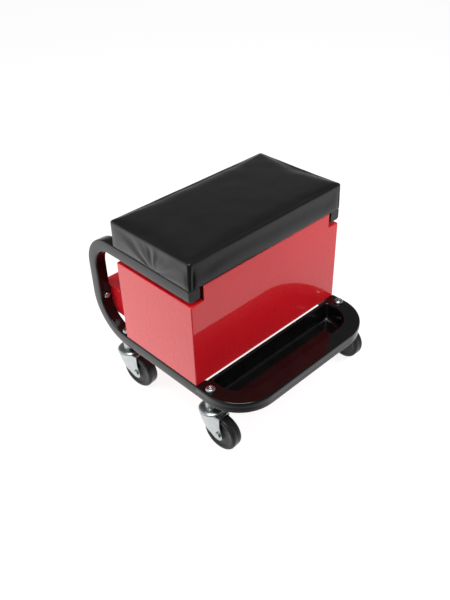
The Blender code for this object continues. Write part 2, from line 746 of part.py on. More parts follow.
def build_housing_bolts(root):
    """A bolt from behind clamps each housing tab to its upright, with a nut in front."""
    nut_thickness = 0.0045
    tip = 0.0015
    length = SHEET + GAP * 2 + TUBE + NUT_STANDOFF + nut_thickness + tip
    bolt_mesh = screw_mesh("housing_bolt", SMALL_HEAD_RADIUS, SMALL_HEAD_HEIGHT, SMALL_SCREW_RADIUS, length, 12)
    bore = SMALL_SCREW_RADIUS + 0.0002
    nut_shape = nut_mesh("housing_nut", bore, SMALL_HEAD_RADIUS - 0.0005, 0.0, nut_thickness)
    up = DECK_Z + HOUSING_BOLT_UP
    for side, side_name in ((-1, "left"), (1, "right")):
        rear = HOUSING_REAR_Y + SHEET + GAP
        bolt = add_object(f"housing_bolt_{side_name}", bolt_mesh, "zinc", root, (side * TUBE_X, rear, up))
        bolt.rotation_euler.x = -math.pi / 2
        fore = FRAME_REAR_Y - TUBE - NUT_STANDOFF
        nut = add_object(f"housing_nut_{side_name}", nut_shape, "zinc", root, (side * TUBE_X, fore, up))
        nut.rotation_euler.x = math.pi / 2


# Casters: every mesh has its origin on the swivel axis, at the top of the base tube

def race_mesh():
    """The fixed half: collar under the tube, race plate, and the kingpin's peened end."""
    collar = 0.0098
    bore = CASTER_HOLE_RADIUS
    top = -TUBE - GAP
    edge = 0.0022
    race_low = RACE_TOP - RACE_HEIGHT
    rivet_top = FORK_TOP - FORK_SHEET - GAP
    rivet_low = rivet_top - 0.0022
    rivet_radius = 0.0092
    rivet_end_radius = 0.0080
    return turned_mesh(
        "caster_race",
        [
            (bore, top), (collar, top), (collar, RACE_TOP), (RACE_RADIUS - edge, RACE_TOP),
            (RACE_RADIUS, RACE_TOP - edge), (RACE_RADIUS, race_low + edge / 2), (RACE_RADIUS - edge, race_low),
            (KINGPIN_RADIUS, race_low), (KINGPIN_RADIUS, rivet_top), (rivet_radius, rivet_top),
            (rivet_end_radius, rivet_low), (bore, rivet_low),
        ],
        20,
    )


def fork_outline():
    """One leg's outline as (y, z): the whole width at the fold, and a curved rear edge above a round toe."""
    toe = (-CASTER_TRAIL, -AXLE_DROP - LEG_TOE_DROP)
    outline = [(FORK_REAR_Y, FORK_TOP), (FORK_FRONT_Y, FORK_TOP), (FORK_FRONT_Y, FORK_TOP - LEG_FRONT_DROP)]
    outline += arc(toe, LEG_TOE_RADIUS, 180, 275, 6)
    return outline + [(y, FORK_TOP + drop) for y, drop in LEG_REAR_EDGE]


def build_fork(name, parent):
    """A folded U of zinc-plated sheet: the crown under the race and a leg on each side."""
    outline = fork_outline()
    count = len(outline)
    points = [(-FORK_HALF_WIDTH, y, z) for y, z in outline] + [(FORK_HALF_WIDTH, y, z) for y, z in outline]
    faces = [tuple(reversed(range(count))), tuple(range(count, 2 * count)), (0, 1, count + 1, count)]
    fork = sheet_object(name, points, faces, FORK_SHEET, "zinc", parent)
    axle_place = (0, -CASTER_TRAIL, -AXLE_DROP)
    drill(fork, [(axle_place, "X", AXLE_RADIUS + HOLE_CLEARANCE, FORK_HALF_WIDTH * 4)], parent, 16)
    crown_hole = ((0, 0, FORK_TOP), "Z", KINGPIN_RADIUS + HOLE_CLEARANCE, SHEET_HOLE_DEPTH)
    drill(fork, [crown_hole], parent, 20)
    return fork


def wheel_mesh():
    """A solid wheel turned about Z, with a dished side and a rounded tread edge."""
    bore = BUSH_RADIUS + GAP
    half = WHEEL_HALF_WIDTH
    web = half - 0.0022
    rim = half - 0.0004
    hub_radius = 0.0105
    web_start = hub_radius + 0.0020
    web_end = WHEEL_RADIUS - 0.0095
    rim_start = WHEEL_RADIUS - 0.0070
    tread_round = 0.0034
    side = [
        (bore, half), (hub_radius, half), (web_start, web), (web_end, web), (rim_start, rim),
        (WHEEL_RADIUS - tread_round, rim), (WHEEL_RADIUS, half - tread_round),
    ]
    return turned_mesh("caster_wheel", side + [(r, -z) for r, z in reversed(side)], 28)


def bush_mesh():
    bore = AXLE_RADIUS + BUSH_FIT
    half = WHEEL_HALF_WIDTH + BUSH_FIT
    return turned_mesh("wheel_bush", [(bore, half), (BUSH_RADIUS, half), (BUSH_RADIUS, -half), (bore, -half)], 14)


def axle_mesh():
    """The axle bolt, turned about Z: a low head on one side and its shank."""
    head = 0.0062
    head_height = 0.0030
    out = FORK_HALF_WIDTH + GAP
    tip = out + 0.0055
    return turned_mesh(
        "caster_axle",
        [
            (0.0, out + head_height), (head * 0.8, out + head_height), (head, out + head_height * 0.6),
            (head, out), (AXLE_RADIUS, out), (AXLE_RADIUS, -tip), (0.0, -tip),
        ],
        14,
    )


def build_casters(root):
    screw_length = CASTER_HEAD_UP + TUBE + 0.011
    screw = screw_mesh("caster_screw", CASTER_HEAD_RADIUS, CASTER_HEAD_HEIGHT, CASTER_SCREW_RADIUS,
                       screw_length, 16)
    race = race_mesh()
    nut_near = -FORK_HALF_WIDTH - GAP
    nut = nut_mesh("axle_nut", AXLE_RADIUS + AXLE_FIT, AXLE_NUT_APOTHEM, nut_near - AXLE_NUT_HEIGHT, nut_near)
    turned = {
        "wheel": (wheel_mesh(), "wheel_rubber"),
        "wheel_bush": (bush_mesh(), "steel"),
        "axle": (axle_mesh(), "zinc"),
        "axle_nut": (nut, "zinc"),
    }
    for corner, (side, y, turn_deg) in CASTERS.items():
        axis = (side * TUBE_X, y, DECK_Z)
        add_object(f"caster_screw_{corner}", screw, "zinc", root, (axis[0], y, DECK_Z + CASTER_HEAD_UP))
        add_object(f"caster_race_{corner}", race, "zinc", root, axis)
        swivel = add_empty(f"swivel_{corner}", root, axis, turn_deg)
        build_fork(f"caster_fork_{corner}", swivel)
        hub = add_empty(f"hub_{corner}", swivel, (0, -CASTER_TRAIL, -AXLE_DROP))
        hub.rotation_euler.y = side * math.pi / 2
        for piece, (mesh, finish_name) in turned.items():
            add_object(f"{piece}_{corner}", mesh, finish_name, hub)


def main():
    clear_scene()
    root = add_empty("creeper_seat", None, (0, -ORIGIN_Y, 0))
    build_frame(root)
    build_tray(root)
    build_cabinet(root)
    build_housing(root)
    build_shelf(root)
    build_drawers(root)
    build_seat(root)
    build_seat_bolts(root)
    build_cabinet_screws(root)
    build_housing_bolts(root)
    build_casters(root)


main()
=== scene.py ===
"""The looks of the rolling creeper seat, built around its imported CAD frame.

Units are metres. +Z is up, +Y points to the rear, and the parts tray is at the front.
A piece that needs a finer shape than its CAD node replaces it, in the same place and on the
same body. Places come from the CAD nodes' boxes and joints.
"""
import json
import math

import bmesh
import bpy
import numpy as np
from mathutils import Matrix, Vector, noise

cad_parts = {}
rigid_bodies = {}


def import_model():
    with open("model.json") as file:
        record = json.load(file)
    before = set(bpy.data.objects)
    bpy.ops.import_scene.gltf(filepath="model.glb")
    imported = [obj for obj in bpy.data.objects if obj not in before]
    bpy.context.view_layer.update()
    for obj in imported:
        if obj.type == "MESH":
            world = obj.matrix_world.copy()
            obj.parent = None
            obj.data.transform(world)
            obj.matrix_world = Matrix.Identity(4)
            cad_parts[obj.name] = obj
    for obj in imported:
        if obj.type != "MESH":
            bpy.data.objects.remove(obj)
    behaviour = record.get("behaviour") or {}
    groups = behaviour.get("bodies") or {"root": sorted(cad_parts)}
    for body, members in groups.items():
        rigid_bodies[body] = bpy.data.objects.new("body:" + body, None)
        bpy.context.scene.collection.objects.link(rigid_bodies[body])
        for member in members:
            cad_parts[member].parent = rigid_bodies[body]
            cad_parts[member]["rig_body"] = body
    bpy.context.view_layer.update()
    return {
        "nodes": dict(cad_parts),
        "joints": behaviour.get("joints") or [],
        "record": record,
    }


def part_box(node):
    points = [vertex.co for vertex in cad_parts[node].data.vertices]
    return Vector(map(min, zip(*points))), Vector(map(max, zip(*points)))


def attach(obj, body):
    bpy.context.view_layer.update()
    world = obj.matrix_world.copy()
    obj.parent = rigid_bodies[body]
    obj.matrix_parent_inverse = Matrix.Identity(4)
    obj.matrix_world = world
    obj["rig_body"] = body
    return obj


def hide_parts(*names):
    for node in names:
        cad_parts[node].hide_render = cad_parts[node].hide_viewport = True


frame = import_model()

CORNERS = ("front_left", "front_right", "rear_left", "rear_right")
SIDES = {"left": -1, "right": 1}
SHEET = 0.0010
GAP = 0.0003

# Frame tube
TUBE = 0.022
TUBE_WALL = 0.002
TUBE_CORNER = 0.0027
TOP_BEND = 0.055
LOWER_BEND = 0.071
PLAN_BEND = 0.064
tube_low, tube_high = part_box("frame_tube")
DECK_Z = tube_low.z + TUBE
TUBE_X = tube_high.x - TUBE / 2
PLUG_FACE = 0.0023

# Casters, measured down from the swivel joint's height, which is the fork's top
FORK_HALF_WIDTH = 0.0135
FORK_SHEET = 0.0022
FORK_REAR_Y = 0.0145
FORK_FRONT_Y = -0.0280
LEG_FRONT_DROP = 0.0179
LEG_REAR_EDGE = ((-0.0175, -0.0470), (-0.0084, -0.0412), (0.0025, -0.0334), (FORK_REAR_Y, -0.0110))
LEG_TOE_RADIUS = 0.0087
LEG_TOE_DROP = 0.0030
RACE_RADIUS = 0.0218
KINGPIN_RADIUS = 0.0065
WHEEL_HALF_WIDTH = 0.0108
AXLE_RADIUS = 0.0038
BUSH_RADIUS = 0.0062


# Materials: each is a node tree of its own

class Shader:
    """A Principled material with short calls for the nodes that this script uses."""

    def __init__(self, name, colour, metallic=0.0, roughness=0.4):
        self.material = bpy.data.materials.new(name)
        self.material.use_nodes = True
        self.tree = self.material.node_tree
        self.principled = self.tree.nodes["Principled BSDF"]
        self.set("Base Color", (*colour, 1.0))
        self.set("Metallic", metallic)
        self.set("Roughness", roughness)
        self.place = self.tree.nodes.new("ShaderNodeTexCoord").outputs["Object"]

    def set(self, socket, value):
        self.principled.inputs[socket].default_value = value

    def feed(self, socket, output):
        self.tree.links.new(output, self.principled.inputs[socket])

    def node(self, kind, **inputs):
        made = self.tree.nodes.new(kind)
        for socket, value in inputs.items():
            target = made.inputs[socket.replace("_", " ")]
            if isinstance(value, bpy.types.NodeSocket):
                self.tree.links.new(value, target)
            else:
                target.default_value = value
        return made

    def stretched(self, scale):
        """The place, scaled apart along the axes, so that a pattern runs in one direction."""
        return self.node("ShaderNodeMapping", Vector=self.place, Scale=scale).outputs["Vector"]

    def noise(self, scale, detail=3.0, place=None):
        vector = place or self.place
        return self.node("ShaderNodeTexNoise", Vector=vector, Scale=scale, Detail=detail).outputs["Fac"]

    def ramp(self, value, low, high, colour_low, colour_high):
        ramp = self.node("ShaderNodeValToRGB", Fac=value)
        ramp.color_ramp.elements[0].position = low
        ramp.color_ramp.elements[0].color = (*colour_low, 1.0)
        ramp.color_ramp.elements[1].position = high
        ramp.color_ramp.elements[1].color = (*colour_high, 1.0)
        return ramp.outputs["Color"]

    def spread(self, value, low, high):
        """Map a 0 to 1 value on low to high."""
        return self.node("ShaderNodeMapRange", Value=value, To_Min=low, To_Max=high).outputs["Result"]

    def mask(self, value, start, end):
        made = self.node("ShaderNodeMapRange", Value=value, From_Min=start, From_Max=end)
        return made.outputs["Result"]

    def times(self, first, second):
        made = self.tree.nodes.new("ShaderNodeMath")
        made.operation = "MULTIPLY"
        for socket, value in zip(made.inputs, (first, second)):
            if isinstance(value, bpy.types.NodeSocket):
                self.tree.links.new(value, socket)
            else:
                socket.default_value = value
        return made.outputs["Value"]

    def mix(self, factor, first, second):
        made = self.tree.nodes.new("ShaderNodeMix")
        made.data_type = "RGBA"
        for socket, value in ((made.inputs[0], factor), (made.inputs[6], first), (made.inputs[7], second)):
            if isinstance(value, bpy.types.NodeSocket):
                self.tree.links.new(value, socket)
            else:
                socket.default_value = (*value, 1.0) if isinstance(value, tuple) else value
        return made.outputs[2]

    def bump(self, height, distance, strength=1.0, normal=None):
        made = self.node("ShaderNodeBump", Height=height, Distance=distance, Strength=strength)
        if normal is not None:
            self.tree.links.new(normal, made.inputs["Normal"])
        self.feed("Normal", made.outputs["Normal"])
        return made.outputs["Normal"]


def black_enamel():
    """Glossy black enamel with a fine orange peel and faint dull patches."""
    s = Shader("black_enamel", (0.005, 0.005, 0.005), roughness=0.20)
    colour = s.ramp(s.noise(35.0), 0.35, 0.70, (0.0022, 0.0022, 0.0024), (0.0038, 0.0038, 0.0041))
    s.feed("Base Color", colour)
    s.feed("Roughness", s.spread(s.noise(90.0, 5.0), 0.10, 0.19))
    s.set("Specular IOR Level", 0.24)
    s.set("Coat Weight", 0.20)
    s.set("Coat Roughness", 0.06)
    s.bump(s.noise(620.0, 2.0), 0.00001, 0.35)
    return s.material


def red_enamel():
    """Red enamel with a mirror-like coat over sheet that is a touch uneven."""
    s = Shader("red_enamel", (0.56, 0.009, 0.018), roughness=0.28)
    colour = s.ramp(s.noise(9.0), 0.35, 0.70, (0.555, 0.0085, 0.0150), (0.585, 0.0100, 0.0170))
    s.feed("Base Color", colour)
    s.feed("Roughness", s.spread(s.noise(70.0, 4.0), 0.22, 0.34))
    s.set("Coat Weight", 1.0)
    s.set("Coat IOR", 1.45)
    s.set("Specular IOR Level", 0.10)
    s.set("Coat Roughness", 0.025)
    s.bump(s.noise(500.0, 1.0), 0.000002, 0.20)
    return s.material


def zinc_plate():
    """Bright zinc: bluish and yellowish clouds, fine rolling marks and small stains."""
    s = Shader("zinc_plate", (0.45, 0.48, 0.49), metallic=1.0, roughness=0.26)
    clouds = s.ramp(s.noise(60.0, 4.0), 0.35, 0.70, (0.40, 0.44, 0.46), (0.50, 0.51, 0.49))
    stains = s.times(s.mask(s.noise(260.0, 6.0), 0.60, 0.72), 0.16)
    s.feed("Base Color", s.mix(stains, clouds, (0.30, 0.31, 0.31)))
    rolling = s.noise(90.0, 4.0, s.stretched((1.0, 1.0, 14.0)))
    s.feed("Roughness", s.spread(rolling, 0.24, 0.34))
    s.bump(rolling, 0.00001, 0.20)
    return s.material


def plain_steel():
    s = Shader("plain_steel", (0.62, 0.61, 0.60), metallic=1.0, roughness=0.25)
    turning = s.noise(160.0, 3.0, s.stretched((1.0, 1.0, 22.0)))
    s.feed("Roughness", s.spread(turning, 0.16, 0.34))
    s.bump(turning, 0.00002, 0.4)
    return s.material


def black_leathercloth():
    """Coated cloth: a fine pebble grain in two sizes, and patches that are slightly shinier than others."""
    s = Shader("black_leathercloth", (0.012, 0.012, 0.0125), roughness=0.45)
    cells = s.tree.nodes.new("ShaderNodeTexVoronoi")
    cells.feature = "DISTANCE_TO_EDGE"
    cells.inputs["Scale"].default_value = 780.0
    warp = s.tree.nodes.new("ShaderNodeTexNoise")
    warp.inputs["Scale"].default_value = 240.0
    s.tree.links.new(s.place, warp.inputs["Vector"])
    bent = s.tree.nodes.new("ShaderNodeVectorMath")
    bent.operation = "MULTIPLY_ADD"
    bent.inputs[1].default_value = (0.0022, 0.0022, 0.0022)
    s.tree.links.new(warp.outputs["Color"], bent.inputs[0])
    s.tree.links.new(s.place, bent.inputs[2])
    s.tree.links.new(bent.outputs["Vector"], cells.inputs["Vector"])
    pebble = s.mask(cells.outputs["Distance"], 0.0, 0.22)
    # The colour darkens towards the grain's cell edges, which the pebble bump makes the low valleys: painted shade in
    # the grain's recesses.
    s.feed("Base Color", s.ramp(pebble, 0.0, 1.0, (0.0024, 0.0024, 0.0026), (0.0042, 0.0042, 0.0045)))
    s.feed("Roughness", s.spread(s.noise(45.0, 4.0), 0.27, 0.36))
    s.set("Specular IOR Level", 0.42)
    broad = s.bump(s.noise(160.0, 4.0), 0.00012, 0.35)
    s.bump(pebble, 0.00006, 0.45, broad)
    return s.material


def birch_ply():
    """Plywood: long grain on the faces, and dark and light plies through the thickness."""
    s = Shader("birch_ply", (0.50, 0.34, 0.19), roughness=0.65)
    grain = s.noise(70.0, 8.0, s.stretched((1.0, 9.0, 9.0)))
    face = s.ramp(grain, 0.35, 0.68, (0.34, 0.21, 0.11), (0.58, 0.42, 0.25))
    plies = s.tree.nodes.new("ShaderNodeTexWave")
    plies.bands_direction = "Z"
    plies.inputs["Scale"].default_value = 120.0
    plies.inputs["Distortion"].default_value = 0.8
    s.tree.links.new(s.place, plies.inputs["Vector"])
    s.feed("Base Color", s.mix(s.times(plies.outputs["Fac"], 0.35), face, (0.30, 0.18, 0.09)))
    s.feed("Roughness", s.spread(grain, 0.55, 0.80))
    s.bump(grain, 0.0002, 0.4)
    return s.material


def moulded_plastic():
    s = Shader("moulded_plastic", (0.014, 0.014, 0.014), roughness=0.45)
    s.feed("Roughness", s.spread(s.noise(300.0, 4.0), 0.36, 0.58))
    s.bump(s.noise(1500.0, 2.0), 0.00004, 0.6)
    return s.material


def wheel_rubber():
    """Hard grey-black rubber: fine grain, and a dull, dusty tread."""
    s = Shader("hard_rubber", (0.030, 0.030, 0.032), roughness=0.42)
    turned = s.node("ShaderNodeSeparateXYZ", Vector=s.place)
    radius = s.tree.nodes.new("ShaderNodeVectorMath")
    radius.operation = "LENGTH"
    flat = s.node("ShaderNodeCombineXYZ", X=turned.outputs["X"], Y=turned.outputs["Y"])
    s.tree.links.new(flat.outputs["Vector"], radius.inputs[0])
    tread = s.mask(radius.outputs["Value"], 0.0315, 0.0329)
    dust = s.times(tread, s.mask(s.noise(420.0, 6.0), 0.40, 0.70))
    base = s.ramp(s.noise(120.0, 4.0), 0.35, 0.70, (0.008, 0.008, 0.009), (0.013, 0.013, 0.014))
    s.feed("Base Color", s.mix(s.times(dust, 0.30), base, (0.034, 0.033, 0.031)))
    s.feed("Roughness", s.spread(s.noise(180.0, 4.0), 0.26, 0.40))
    s.set("Specular IOR Level", 0.24)
    s.bump(s.noise(900.0, 3.0), 0.00004, 0.45)
    return s.material


FINISH = {
    "black_paint": black_enamel(),
    "red_paint": red_enamel(),
    "zinc": zinc_plate(),
    "steel": plain_steel(),
    "black_vinyl": black_leathercloth(),
    "plywood": birch_ply(),
    "black_plastic": moulded_plastic(),
    "wheel_rubber": wheel_rubber(),
}
SLOT = {s["node"]: s["material_slot"] for s in frame["record"]["subparts"]}


# Mesh helpers

def arc(centre, radius, start_deg, end_deg, steps):
    """Points of an arc in a plane, with both ends."""
    angles = [math.radians(start_deg + (end_deg - start_deg) * i / steps) for i in range(steps + 1)]
    return [(centre[0] + radius * math.cos(a), centre[1] + radius * math.sin(a)) for a in angles]


def mesh_of(name, shape, smooth_deg=32):
    """Turn a bmesh into a mesh with outward faces, smooth where the angle is small."""
    bmesh.ops.recalc_face_normals(shape, faces=shape.faces[:])
    mesh = bpy.data.meshes.new(name)
    shape.to_mesh(mesh)
    shape.free()
    mesh.shade_smooth()
    mesh.set_sharp_from_angle(angle=math.radians(smooth_deg))
    return mesh


def show(name, mesh, node, place=None):
    """Show mesh in place of one CAD node, on that node's body and in its material."""
    piece = bpy.data.objects.new(name, mesh)
    bpy.context.scene.collection.objects.link(piece)
    if not mesh.materials:
        mesh.materials.append(FINISH[SLOT[node]])
    if place is not None:
        piece.matrix_world = place
    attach(piece, frame["nodes"][node]["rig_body"])
    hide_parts(node)
    return piece


def join_rings(shape, first, second):
    count = len(first)
    for i in range(count):
        j = (i + 1) % count
        shape.faces.new((first[i], first[j], second[j], second[i]))


def strip(shape, first, second):
    """Faces between two open rows of vertices."""
    for i in range(len(first) - 1):
        shape.faces.new((first[i], first[i + 1], second[i + 1], second[i]))


def turned(name, profile, segments=48, smooth_deg=32):
    """Spin (radius, height) points about Z. A third value of 6 bends that ring to a hexagon's flats."""
    shape = bmesh.new()
    rings = []
    for point in profile:
        radius, height = point[:2]
        ring = []
        for i in range(segments):
            angle = math.tau * i / segments
            reach = radius
            if len(point) == 3:
                flat = math.tau / point[2]
                reach = radius / math.cos((angle + flat / 2) % flat - flat / 2)
            ring.append(shape.verts.new((reach * math.cos(angle), reach * math.sin(angle), height)))
        rings.append(ring)
    for first, second in zip(rings, rings[1:]):
        join_rings(shape, first, second)
    if profile[0] == profile[-1]:
        bmesh.ops.remove_doubles(shape, verts=rings[0] + rings[-1], dist=1e-7)
    else:
        shape.faces.new(rings[0])
        shape.faces.new(rings[-1])
    return mesh_of(name, shape, smooth_deg)


def folded(name, points, faces, bend, thickness=SHEET, steps=4):
    """Fold sheet from points and faces: bends get a radius, and the sheet is left without thickness."""
    shape = bmesh.new()
    verts = [shape.verts.new(point) for point in points]
    for face in faces:
        shape.faces.new([verts[i] for i in face])
    shape.normal_update()
    creases = [e for e in shape.edges if len(e.link_faces) == 2 and e.calc_face_angle() > 0.5]
    bmesh.ops.bevel(shape, geom=creases, offset=bend, segments=steps, affect="EDGES", profile=0.5,
                    clamp_overlap=True)
    mesh = bpy.data.meshes.new(name)
    shape.to_mesh(mesh)
    shape.free()
    mesh.shade_smooth()
    mesh.set_sharp_from_angle(angle=math.radians(35))
    return mesh


def give_thickness(piece, thickness=SHEET, edge=0.0):
    solidify = piece.modifiers.new("sheet", "SOLIDIFY")
    solidify.thickness = thickness
    solidify.offset = -1.0
    solidify.use_even_offset = True
    if edge:
        soften(piece, edge, weld=False)
    even_shading(piece)


def even_shading(piece):
    """Let the large faces set the shading, so that bends don't tilt it."""
    normals = piece.modifiers.new("even_shading", "WEIGHTED_NORMAL")
    normals.weight = 100
    normals.keep_sharp = True


def soften(piece, width, weld=True, segments=2):
    """Round a piece's edges a little, so that they catch the light."""
    if weld:
        piece.modifiers.new("weld", "WELD").merge_threshold = 0.00001
    bevel = piece.modifiers.new("edges", "BEVEL")
    bevel.width = width
    bevel.segments = segments
    bevel.limit_method = "ANGLE"
    bevel.angle_limit = math.radians(40)


# Frame

def tube_section(half, corner, steps):
    points = []
    for quarter in range(4):
        reach = (half - corner) * math.sqrt(2)
        middle = math.radians(quarter * 90 + 45)
        centre = (reach * math.cos(middle), reach * math.sin(middle))
        points += arc(centre, corner, quarter * 90, quarter * 90 + 90, steps)
    return points


def swept(shape, path, section):
    """Carry a section along a path without twist, and return its rings of vertices."""
    rings = []
    across = Vector((1, 0, 0))
    for i, point in enumerate(path):
        ahead = path[min(i + 1, len(path) - 1)] - point
        behind = point - path[max(i - 1, 0)]
        along = (ahead.normalized() + behind.normalized()).normalized()
        across = (across - along * across.dot(along)).normalized()
        up = across.cross(along)
        rings.append([shape.verts.new(point + across * a + up * b) for a, b in section])
    return rings


def straight(start, end, step):
    """Points between two ends, both left out, no further apart than step."""
    count = max(int((end - start).length / step), 1)
    return [start.lerp(end, i / count) for i in range(1, count)]


def frame_path():
    """The tube's centre line from the left arm's front end round to the right arm's."""
    plug_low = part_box("arm_plug_left")[0]
    arm_z = tube_high.z - TUBE / 2
    base_z = tube_low.z + TUBE / 2
    upright_y = tube_high.y - TUBE / 2
    front_y = tube_low.y + TUBE / 2
    steps = 20
    side = [(plug_low.y + PLUG_FACE, arm_z)]
    side += arc((upright_y - TOP_BEND, arm_z - TOP_BEND), TOP_BEND, 90, 0, steps)
    side += arc((upright_y - LOWER_BEND, base_z + LOWER_BEND), LOWER_BEND, 0, -90, steps)
    corners = [Vector((-TUBE_X, y, z)) for y, z in side]
    plan = arc((-TUBE_X + PLAN_BEND, front_y + PLAN_BEND), PLAN_BEND, 180, 270, steps)
    corners += [Vector((x, y, base_z)) for x, y in plan]
    corners += [Vector((-p.x, p.y, p.z)) for p in reversed(corners)]
    path = [corners[0]]
    for start, end in zip(corners, corners[1:]):
        path += straight(start, end, 0.03) + [end]
    return path


def build_frame():
    shape = bmesh.new()
    path = frame_path()
    outer = swept(shape, path, tube_section(TUBE / 2, TUBE_CORNER, 5))
    inner = swept(shape, path, tube_section(TUBE / 2 - TUBE_WALL, TUBE_CORNER - TUBE_WALL, 5))
    for rings in (outer, inner):
        for first, second in zip(rings, rings[1:]):
            join_rings(shape, first, second)
    join_rings(shape, outer[0], inner[0])
    join_rings(shape, outer[-1], inner[-1])
    tube = show("bent_frame_tube", mesh_of("bent_frame_tube", shape, 40), "frame_tube")
    for side in SIDES:
        screw_low, screw_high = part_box(f"caster_screw_rear_{side}")
        centre = (screw_low + screw_high) / 2
        radius = (screw_high.x - screw_low.x) / 2 * 1.06
        head_z = screw_high.z - SCREW_HEAD_HEIGHT - GAP
        depth = 0.02
        shape = bmesh.new()
        bmesh.ops.create_cone(shape, cap_ends=True, segments=40, radius1=radius, radius2=radius, depth=depth)
        bmesh.ops.translate(shape, vec=(centre.x, centre.y, head_z + depth / 2), verts=shape.verts[:])
        take_away(tube, cutter_of(f"spot_face_{side}", shape))


# Tray

TRAY_LIP = 0.010
TRAY_DEPTH = 0.0335
TRAY_HALF = 0.1505
TRAY_DRAFT = 0.005
TRAY_FRONT_CORNER = 0.048
TRAY_REAR_CORNER = 0.006
TRAY_FRONT_Y = tube_low.y + 0.026
RIB_HALF_WIDTH = 0.0024
RIB_HEIGHT = 0.0016


def rib(x):
    """How far the pan's rear and front walls bulge inwards at x: three narrow ribs."""
    nearest = min(abs(x - centre) for centre in (-TRAY_HALF / 2, 0.0, TRAY_HALF / 2))
    t = max(0.0, 1.0 - nearest / RIB_HALF_WIDTH)
    return RIB_HEIGHT * t * t * (3 - 2 * t)


def tray_ring(inset, rib_share, rear_y):
    """The pan's outline at one level, from the rear left corner round to the rear right one."""
    half = TRAY_HALF - inset
    front = TRAY_FRONT_Y + inset
    rear = rear_y - inset
    big = TRAY_FRONT_CORNER - inset
    small = TRAY_REAR_CORNER
    columns = 180
    left = arc((-half + small, rear - small), small, 90, 180, 6)
    left += arc((-half + big, front + big), big, 180, 270, 20)
    left_end = -half + big
    middle = []
    for i in range(1, columns):
        x = left_end + (-2 * left_end) * i / columns
        middle.append((x, front + rib(x) * rib_share))
    right = [(-x, y) for x, y in reversed(left)]
    back = []
    back_end = half - small
    for i in range(1, columns):
        x = back_end - 2 * back_end * i / columns
        back.append((x, rear - rib(x) * rib_share))
    return left + middle + right + back


def tray_edge(inset):
    """The flange's outer edge, straight at the rear, where an ear lies on each side tube."""
    tray_low, tray_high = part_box("tray")
    half = tray_high.x - inset
    front = tray_low.y + inset
    ear = tube_high.x - TUBE
    ear_y = tray_high.y
    corner = PLAN_BEND + TUBE / 2 + GAP + SHEET - inset
    left = [(-ear, ear_y - 0.0026), (-ear, ear_y), (-half, ear_y)]
    left += arc((-half + corner, front + corner), corner, 180, 270, 28)
    return left + [(-x, y) for x, y in reversed(left)]


def build_tray():
    tray_low, tray_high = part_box("tray")
    top = tray_high.z
    rear_y = tray_high.y - 0.0053
    roll = 0.0022
    fillet = 0.0065
    shape = bmesh.new()
    pan_levels = []
    for i in range(5):
        turn = math.pi / 2 * i / 4
        pan_levels.append((roll * math.sin(turn), -roll * (1 - math.cos(turn)), 0.0))
    wall_steps = 5
    wall_low = -TRAY_DEPTH + fillet
    for i in range(1, wall_steps + 1):
        t = i / wall_steps
        share = min(1.0, t * 2.5) if i < wall_steps else 0.6
        pan_levels.append((roll + (TRAY_DRAFT - roll) * t, -roll + (wall_low + roll) * t, share))
    for i in range(1, 7):
        turn = math.pi / 2 * i / 6
        share = 0.6 * max(0.0, 1 - i / 3)
        pan_levels.append((TRAY_DRAFT + fillet * (1 - math.cos(turn)), wall_low - fillet * math.sin(turn), share))
    pan = []
    for inset, drop, share in pan_levels:
        pan.append([shape.verts.new((x, y, top + drop)) for x, y in tray_ring(inset, share, rear_y)])
    for first, second in zip(pan, pan[1:]):
        join_rings(shape, first, second)
    shape.faces.new(pan[-1])
    bend = 0.0026
    edge_levels = []
    for i in range(6):
        turn = math.pi / 2 * i / 5
        edge_levels.append((bend * (1 - math.sin(turn)), -bend * (1 - math.cos(turn))))
    edge_levels.append((0.0, -TRAY_LIP))
    edges = []
    for inset, drop in edge_levels:
        edges.append([shape.verts.new((x, y, top + drop)) for x, y in tray_edge(inset)])
    rims = []
    for loop in (edges[0], pan[0]):
        rims += [shape.edges.get((loop[i - 1], loop[i])) or shape.edges.new((loop[i - 1], loop[i]))
                 for i in range(len(loop))]
    bmesh.ops.triangle_fill(shape, use_beauty=True, edges=rims, normal=(0, 0, 1))
    first_lip = 2
    last_lip = len(edges[0]) - 2
    for first, second in zip(edges, edges[1:]):
        strip(shape, first[first_lip:last_lip], second[first_lip:last_lip])
    bmesh.ops.delete(shape, geom=[v for v in shape.verts if not v.link_faces], context="VERTS")
    bmesh.ops.recalc_face_normals(shape, faces=shape.faces[:])
    floor = min(shape.faces, key=lambda f: f.calc_center_median().z)
    if floor.normal.z < 0:
        bmesh.ops.reverse_faces(shape, faces=shape.faces[:])
    mesh = bpy.data.meshes.new("parts_tray")
    shape.to_mesh(mesh)
    shape.free()
    mesh.shade_smooth()
    mesh.set_sharp_from_angle(angle=math.radians(35))
    tray = show("parts_tray", mesh, "tray")
    give_thickness(tray)


# Cabinet and drawers

ARM_NOTCH = 0.027
FRONT_FLANGE = 0.012
CABINET_SIDE_TOP = DECK_Z + 0.160
SHEET_BEND = 0.0016
HOUSING_HALF_WIDTH = 0.1535


def build_cabinet():
    low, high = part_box("cabinet_shell")
    w = high.x
    n = w - ARM_NOTCH
    side_top = CABINET_SIDE_TOP
    y0 = low.y
    y1 = high.y
    y2 = y0 + FRONT_FLANGE
    points = [
        (-w, y0, low.z), (w, y0, low.z), (w, y0, side_top), (n, y0, side_top), (n, y0, high.z), (-n, y0, high.z),
        (-n, y0, side_top), (-w, y0, side_top), (-w, y1, low.z), (w, y1, low.z), (w, y1, side_top),
        (-w, y1, side_top), (n, y1, side_top), (-n, y1, side_top), (n, y2, high.z), (-n, y2, high.z),
    ]
    faces = [
        (0, 1, 2, 3, 4, 5, 6, 7), (0, 7, 11, 8), (1, 9, 10, 2), (0, 8, 9, 1), (7, 6, 13, 11), (2, 10, 12, 3),
        (4, 14, 15, 5),
    ]
    shell = show("tool_cabinet_shell", folded("tool_cabinet_shell", points, faces, SHEET_BEND), "cabinet_shell")
    give_thickness(shell)


